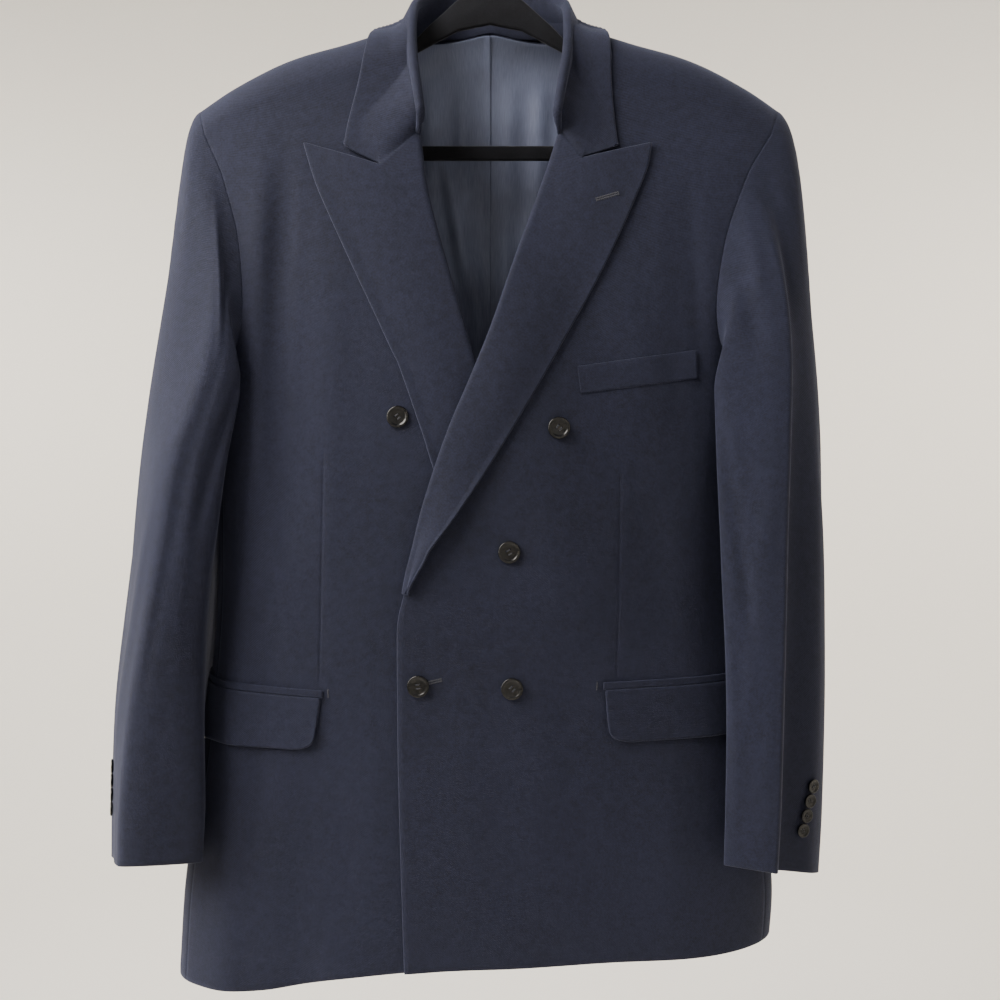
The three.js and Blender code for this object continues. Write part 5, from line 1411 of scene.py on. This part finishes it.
def on_lapel(hand):
    _, points, flip, _ = lapel_piece(hand)
    face = points[:, ROLL_COLUMNS:]
    normals = grid_normals(points, flip)[:, ROLL_COLUMNS:]

    def place(x, z):
        line, turns = [], []
        for a, b in zip(np.atleast_1d(x), np.atleast_1d(z)):
            away = np.hypot(face[..., 0] - a, face[..., 2] - b).ravel()
            near = np.argsort(away)[:6]
            share = (1 / (away[near] + 0.05) ** 2)[:, None]
            at = (face.reshape(-1, 3)[near] * share).sum(0) / share.sum()
            line.append((a, at[1], b))
            turns.append(unit((normals.reshape(-1, 3)[near] * share).sum(0)))
        return np.array(line), np.array(turns)
    return place


def buttonhole(name, place, start, end, seed):
    """Two lips of close purl stitches and a bar across each end. The stitches are 0.35 mm
    apart in the cloth and drawn 0.6 mm apart, or they wouldn't show."""
    runs = []
    for aside in (-0.95, 0.95):
        line, _, across, normal = cloth_run(place, start, end, aside)
        runs.append((line + normal * 0.12, across, normal))
    sew(name, runs, spacing=0.6, length=1.7, gauge=0.62, seed=seed)
    line, along, across, normal = cloth_run(place, start, end, 0)
    bars, reach = [], np.linspace(-1.6, 1.6, 5)[:, None]
    for k in (0, -1):
        bars.append((line[k] + across[k] * reach + normal[k] * 0.15,
                     np.repeat(along[k][None], 5, 0), np.repeat(normal[k][None], 5, 0)))
    sew(name + "_bars", bars, spacing=0.7, length=1.3, gauge=0.55, seed=seed + 1)


def tack(name, place, start, end, seed):
    """A bar tack: threads laid across a short line."""
    line, _, across, normal = cloth_run(place, start, end, 0, 8)
    sew(name, [(line + normal * 0.2, across, normal)], spacing=0.55, length=1.6, gauge=0.5,
        seed=seed)


buttonhole("lapel_buttonhole", on_lapel(1), (92.5, -277), (112, -271), 11)
buttonhole("closing_buttonhole", on_front(1), (-66, -696), (-40.5, -689.5), 17)
tack("tack_left_pocket", on_front(1), (91.5, -699), (92, -692), 23)
tack("tack_right_pocket", on_front(-1), (-138, -706.5), (-138.3, -699.5), 29)


# Hanger and hook
def hanger_piece():
    """The hanger's own shape with its long edges rounded."""
    mesh = mend(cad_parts["hanger"].data.copy(), flat_angle=0.01)
    source = linked("hanger_velvet_source", mesh)
    bevel = source.modifiers.new("round", "BEVEL")
    bevel.width, bevel.segments, bevel.limit_method = 0.0018, 3, "ANGLE"
    bevel.angle_limit = math.radians(50)
    return linked("hanger_velvet", shade(applied(source), 50))


def hook_piece():
    """Wire from the hanger's neck, round over the rod and down to its tip, ends rounded."""
    radius, bend, middle = 1.9, 18.9, -17.0
    path = [(0, -61.7), (0, -56), (0, -50), (-1.1, -45.5), (-3, -41)]
    for angle in range(225, -36, -13):
        turn = math.radians(angle)
        path.append((bend * math.cos(turn), middle + bend * math.sin(turn)))
    curve = bpy.data.curves.new("hook_path", "CURVE")
    curve.dimensions, curve.bevel_depth, curve.bevel_resolution = "3D", radius / 1000, 5
    curve.use_fill_caps, curve.resolution_u = True, 6
    line = curve.splines.new("NURBS")
    line.points.add(len(path) - 1)
    for point, (x, z) in zip(line.points, path):
        point.co = (x / 1000, 0, z / 1000, 1)
    line.order_u, line.use_endpoint_u = 3, True
    mesh = mend(applied(linked("hook_source", curve)))
    return linked("hanger_hook_wire", shade(mesh, 50))


dress(hanger_piece(), VELVET, "velvet", ["hanger"])
dress(hook_piece(), WIRE, "hook_wire", ["hanger_hook"])


# Stage, light and camera
def paint():
    """Matt wall paint with the faint orange peel of a roller, warm white."""
    material, tree, inputs, place = new_material("matt warm white paint", {"Roughness": 0.9})
    peel = noise(tree, place, 3.85, 3)
    colour_from(tree, inputs, two_tone(tree, peel, 0.3, "efebe3", 0.7, "f3f0e9"))
    relief_from(tree, inputs, peel, 0.1, 0.5)
    return material


def cove():
    """A round studio cove: floor, a swept corner and a wall, open at the top."""
    radius, corner, floor_z, top_z = 3400, 900, -1750, 2400
    sweep, turns = 12, 96
    section_line = [(radius - corner, floor_z)]
    for k in range(1, sweep + 1):
        turn = math.pi / 2 * k / sweep
        section_line.append((radius - corner + corner * math.sin(turn),
                             floor_z + corner * (1 - math.cos(turn))))
    section_line.append((radius, top_z))
    points, quads = [(0, 0, floor_z)], []
    for r, z in section_line:
        points += ring_of(turns, r, z)
    for r in range(len(section_line) - 1):
        quads += [(a, a + turns, b + turns, b) for a, b in neighbours(1 + r * turns, turns)]
    triangles = [(0, a, b) for a, b in neighbours(1, turns)]
    made = make_mesh("studio_cove", points, quads, triangles=triangles)
    made.data.materials.append(paint())


def softbox(name, place, aim, size, watts, colour):
    """A round soft light at a place, turned to a point, both in metres."""
    light = bpy.data.lights.new(name, "AREA")
    light.shape, light.size, light.energy = "DISK", size, watts
    light.color = hex_colour(colour)[:3]
    lamp = linked(name, light)
    lamp.location = place
    lamp.rotation_euler = (Vector(aim) - Vector(place)).to_track_quat("-Z", "Y").to_euler()


cove()
softbox("key_light", (-1.3, -0.85, 0.72), (-0.3, 0, -0.05), 1.5, 84, "fffaf4")
softbox("side_light", (-1.7, -0.3, -0.3), (-0.3, 0, -0.4), 0.8, 28, "fffcf8")
softbox("fill_light", (0.5, -2.0, 0.5), (0, 0, -0.3), 1.6, 2, "f2f5ff")
softbox("back_light", (0.9, 2.2, 0.8), (0, 0, -0.5), 1.4, 30, "f4f6ff")
softbox("wall_light_left", (-1.7, 1.3, 0.2), (0, 3.4, -0.5), 1.2, 34, "fffaf2")
softbox("wall_light_right", (1.7, 1.3, 0.2), (0, 3.4, -0.5), 1.2, 30, "fff6ea")
world = bpy.data.worlds.new("studio_air")
bpy.context.scene.world = world
world.use_nodes = True
air = world.node_tree.nodes["Background"].inputs
air["Color"].default_value, air["Strength"].default_value = hex_colour("f6f6fa"), 0.2

camera_data = bpy.data.cameras.new("photo_camera")
camera_data.sensor_width, camera_data.lens = 36, 36
camera = linked("photo_camera", camera_data)
camera.location = (0.0093, -0.930, -0.537)
camera.rotation_euler = (math.radians(90), 0, 0)
bpy.context.scene.camera = camera
